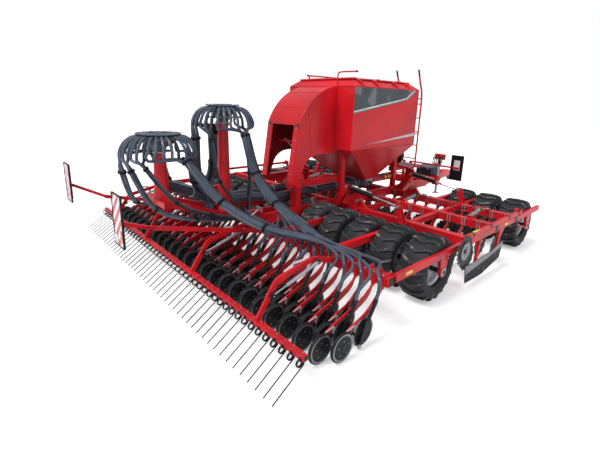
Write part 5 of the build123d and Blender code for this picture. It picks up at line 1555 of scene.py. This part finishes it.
def stage_pieces(sizes):
    """Pale floor, white surround, two soft suns and the camera."""
    scene = bpy.context.scene
    mesh = bpy.data.meshes.new("floor")
    corners = ((-1, -1), (1, -1), (1, 1), (-1, 1))
    mesh.from_pydata([(x * FLOOR_HALF, y * FLOOR_HALF, 0) for x, y in corners], [], [(0, 1, 2, 3)])
    floor = bpy.data.objects.new("floor", mesh)
    scene.collection.objects.link(floor)
    mat = bpy.data.materials.new("pale_floor_paint")
    mat.use_nodes = True
    tree = mat.node_tree
    tree.nodes.clear()
    path = add(tree, "ShaderNodeLightPath")
    matt = add(tree, "ShaderNodeBsdfDiffuse", {"Color": srgb("f6f6f6")})
    plain = add(tree, "ShaderNodeEmission", {"Color": srgb("ffffff"), "Strength": 0.36})
    both = add(tree, "ShaderNodeAddShader", {0: matt.outputs[0], 1: plain.outputs[0]})
    mixed = add(tree, "ShaderNodeMixShader", {0: path.outputs["Is Camera Ray"], 1: matt.outputs[0],
            2: both.outputs[0]})
    add(tree, "ShaderNodeOutputMaterial", {"Surface": mixed.outputs[0]})
    mesh.materials.append(mat)
    world = bpy.data.worlds.new("soft_surround")
    scene.world = world
    world.use_nodes = True
    tree = world.node_tree
    tree.nodes.clear()
    path = add(tree, "ShaderNodeLightPath")
    light = add(tree, "ShaderNodeBackground", {"Color": srgb("f1f4f9"), "Strength": 0.55})
    white = add(tree, "ShaderNodeBackground", {"Color": srgb("ffffff"), "Strength": 1.0})
    mixed = add(tree, "ShaderNodeMixShader", {0: path.outputs["Is Camera Ray"], 1: light.outputs[0],
            2: white.outputs[0]})
    add(tree, "ShaderNodeOutputWorld", {"Surface": mixed.outputs[0]})
    for name, turn, wide, power in SUNS:
        lamp = bpy.data.lights.new(name, "SUN")
        lamp.angle = radians(wide)
        lamp.energy = power
        obj = bpy.data.objects.new(name, lamp)
        scene.collection.objects.link(obj)
        obj.rotation_euler = [radians(a) for a in turn]
    scene.view_settings.view_transform = "Standard"
    data = bpy.data.cameras.new("camera")
    data.sensor_width = 36.0
    data.lens = sizes.lens
    data.shift_x, data.shift_y = CAMERA_SHIFT
    data.clip_end = 200
    camera = bpy.data.objects.new("camera", data)
    scene.collection.objects.link(camera)
    yaw, pitch, roll = [radians(a) for a in CAMERA_TURN]
    ahead = Vector((-sin(yaw) * cos(pitch), cos(yaw) * cos(pitch), -sin(pitch)))
    right = Vector((cos(yaw), sin(yaw), 0))
    up = right.cross(ahead)
    right, up = right * cos(roll) + up * sin(roll), up * cos(roll) - right * sin(roll)
    turn = Matrix((right, up, -ahead)).transposed().to_4x4()
    turn.translation = Vector(CAMERA_AT) + Vector((0, AXLE_Y, 0))
    camera.matrix_world = turn
    scene.camera = camera


# The add-on: sizes, one operator for each group, and its panel

class DrillSizes(bpy.types.PropertyGroup):
    paint: bpy.props.FloatVectorProperty(name="Paint", description="Colour of the enamel", subtype="COLOR", size=3,
            min=0, max=1, default=srgb("de1c28")[:3])
    lugs: bpy.props.IntProperty(name="Lugs", description="V lugs round each packer tyre", default=17, min=8, max=30)
    lug_depth: bpy.props.FloatProperty(name="Lug depth",
            description="Share of the full tread depth, less when worn", default=1.0, min=0.3, max=1.0)
    hose: bpy.props.FloatProperty(name="Hose radius", description="Outer radius of a seed hose", default=0.0205,
            unit="LENGTH")
    stripe: bpy.props.FloatProperty(name="Stripe", description="Width of a stripe on the warning boards",
            default=0.075, unit="LENGTH")
    lens: bpy.props.FloatProperty(name="Lens", description="Focal length of the camera in millimetres",
            default=22.61, min=10, max=200)


class DRILL_OT_packers(bpy.types.Operator):
    """Tyres with V lugs on silver wheels, for each section's packer"""
    bl_idname = "drill.packers"
    bl_label = "Packers"

    def execute(self, context):
        packer_pieces(context.scene.drill_sizes)
        return {"FINISHED"}


class DRILL_OT_tillage_discs(bpy.types.Operator):
    """Notched discs in front of the coulters with their hubs and clamps"""
    bl_idname = "drill.tillage_discs"
    bl_label = "Tillage discs"

    def execute(self, context):
        tillage_pieces(context.scene.drill_sizes)
        return {"FINISHED"}


class DRILL_OT_coulters(bpy.types.Operator):
    """Seed bars, coulter arms, boots, opener discs and press wheels"""
    bl_idname = "drill.coulters"
    bl_label = "Coulters"

    def execute(self, context):
        coulter_pieces(context.scene.drill_sizes)
        return {"FINISHED"}


class DRILL_OT_harrow(bpy.types.Operator):
    """Spring tines and the harrow's pressure springs"""
    bl_idname = "drill.harrow"
    bl_label = "Following harrow"

    def execute(self, context):
        harrow_pieces(context.scene.drill_sizes)
        return {"FINISHED"}


class DRILL_OT_hopper(bpy.types.Operator):
    """Rims, seams, films and brackets on the hopper"""
    bl_idname = "drill.hopper"
    bl_label = "Hopper"

    def execute(self, context):
        hopper_trim(context.scene.drill_sizes)
        return {"FINISHED"}


class DRILL_OT_hood(bpy.types.Operator):
    """The curved hood behind the hopper with its lamps and fan motor"""
    bl_idname = "drill.hood"
    bl_label = "Rear hood"

    def execute(self, context):
        hood_pieces(context.scene.drill_sizes)
        return {"FINISHED"}


class DRILL_OT_lid(bpy.types.Operator):
    """The hopper's lid with its ribs and roll bar"""
    bl_idname = "drill.lid"
    bl_label = "Lid"

    def execute(self, context):
        lid_pieces(context.scene.drill_sizes)
        return {"FINISHED"}


class DRILL_OT_ladder(bpy.types.Operator):
    """The ladder, its rungs and the step's grating"""
    bl_idname = "drill.ladder"
    bl_label = "Ladder"

    def execute(self, context):
        ladder_pieces(context.scene.drill_sizes)
        return {"FINISHED"}


class DRILL_OT_fan(bpy.types.Operator):
    """The blower's housing, grille and foot"""
    bl_idname = "drill.fan"
    bl_label = "Fan"

    def execute(self, context):
        fan_pieces(context.scene.drill_sizes)
        return {"FINISHED"}


class DRILL_OT_metering(bpy.types.Operator):
    """The metering boxes under the hopper"""
    bl_idname = "drill.metering"
    bl_label = "Metering"

    def execute(self, context):
        metering_pieces(context.scene.drill_sizes)
        return {"FINISHED"}


class DRILL_OT_ducts(bpy.types.Operator):
    """The two ribbed ducts with their clamps"""
    bl_idname = "drill.ducts"
    bl_label = "Air ducts"

    def execute(self, context):
        duct_pieces(context.scene.drill_sizes)
        return {"FINISHED"}


class DRILL_OT_heads(bpy.types.Operator):
    """The heads' covers and outlets"""
    bl_idname = "drill.heads"
    bl_label = "Distributor heads"

    def execute(self, context):
        head_pieces(context.scene.drill_sizes)
        return {"FINISHED"}


class DRILL_OT_hoses(bpy.types.Operator):
    """Strapped hoses from the heads' outlets to the coulters' boots"""
    bl_idname = "drill.hoses"
    bl_label = "Seed hoses"

    def execute(self, context):
        hose_pieces(context.scene.drill_sizes)
        return {"FINISHED"}


class DRILL_OT_towers(bpy.types.Operator):
    """Flanges, guide ring and fittings of the towers"""
    bl_idname = "drill.towers"
    bl_label = "Towers"

    def execute(self, context):
        tower_pieces(context.scene.drill_sizes)
        return {"FINISHED"}


class DRILL_OT_boards(bpy.types.Operator):
    """Striped boards with lamps and bare plates"""
    bl_idname = "drill.boards"
    bl_label = "Warning boards"

    def execute(self, context):
        board_pieces(context.scene.drill_sizes)
        return {"FINISHED"}


class DRILL_OT_markers(bpy.types.Operator):
    """Notched marker discs and the trim of their arms"""
    bl_idname = "drill.markers"
    bl_label = "Track markers"

    def execute(self, context):
        marker_pieces(context.scene.drill_sizes)
        return {"FINISHED"}


class DRILL_OT_guards(bpy.types.Operator):
    """Guards outside the tillage discs with their adjusters"""
    bl_idname = "drill.guards"
    bl_label = "Soil guards"

    def execute(self, context):
        guard_pieces(context.scene.drill_sizes)
        return {"FINISHED"}


class DRILL_OT_frame_trim(bpy.types.Operator):
    """Bolts, fold cylinders, lines and depth stops on the frame"""
    bl_idname = "drill.frame_trim"
    bl_label = "Frame trim"

    def execute(self, context):
        frame_pieces(context.scene.drill_sizes)
        return {"FINISHED"}


class DRILL_OT_drawbar(bpy.types.Operator):
    """Tool case, coupler stand, jack and the tongue's fittings"""
    bl_idname = "drill.drawbar"
    bl_label = "Drawbar"

    def execute(self, context):
        drawbar_pieces(context.scene.drill_sizes)
        return {"FINISHED"}


class DRILL_OT_stage(bpy.types.Operator):
    """Pale floor, soft suns and the camera"""
    bl_idname = "drill.stage"
    bl_label = "Stage"

    def execute(self, context):
        stage_pieces(context.scene.drill_sizes)
        return {"FINISHED"}


OPERATORS = (
    DRILL_OT_packers,
    DRILL_OT_tillage_discs,
    DRILL_OT_coulters,
    DRILL_OT_harrow,
    DRILL_OT_hopper,
    DRILL_OT_hood,
    DRILL_OT_lid,
    DRILL_OT_ladder,
    DRILL_OT_fan,
    DRILL_OT_metering,
    DRILL_OT_ducts,
    DRILL_OT_heads,
    DRILL_OT_hoses,
    DRILL_OT_towers,
    DRILL_OT_boards,
    DRILL_OT_markers,
    DRILL_OT_guards,
    DRILL_OT_frame_trim,
    DRILL_OT_drawbar,
    DRILL_OT_stage,
)


class DRILL_PT_panel(bpy.types.Panel):
    """Lists the drill's sizes and its groups of pieces"""
    bl_label = "Folding seed drill"
    bl_idname = "DRILL_PT_panel"
    bl_space_type = "VIEW_3D"
    bl_region_type = "UI"
    bl_category = "Drill"

    def draw(self, context):
        sizes = context.scene.drill_sizes
        for key in ("paint", "lugs", "lug_depth", "hose", "stripe", "lens"):
            self.layout.prop(sizes, key)
        for operator in OPERATORS:
            self.layout.operator(operator.bl_idname)


def register():
    for item in (DrillSizes, *OPERATORS, DRILL_PT_panel):
        bpy.utils.register_class(item)
    bpy.types.Scene.drill_sizes = bpy.props.PointerProperty(type=DrillSizes)


def unregister():
    del bpy.types.Scene.drill_sizes
    for item in reversed((DrillSizes, *OPERATORS, DRILL_PT_panel)):
        bpy.utils.unregister_class(item)


def main():
    register()
    make_finishes(bpy.context.scene.drill_sizes)
    for operator in OPERATORS:
        getattr(bpy.ops.drill, operator.bl_idname.split(".")[1])()
    paint_nodes()


if __name__ == "__main__":
    main()
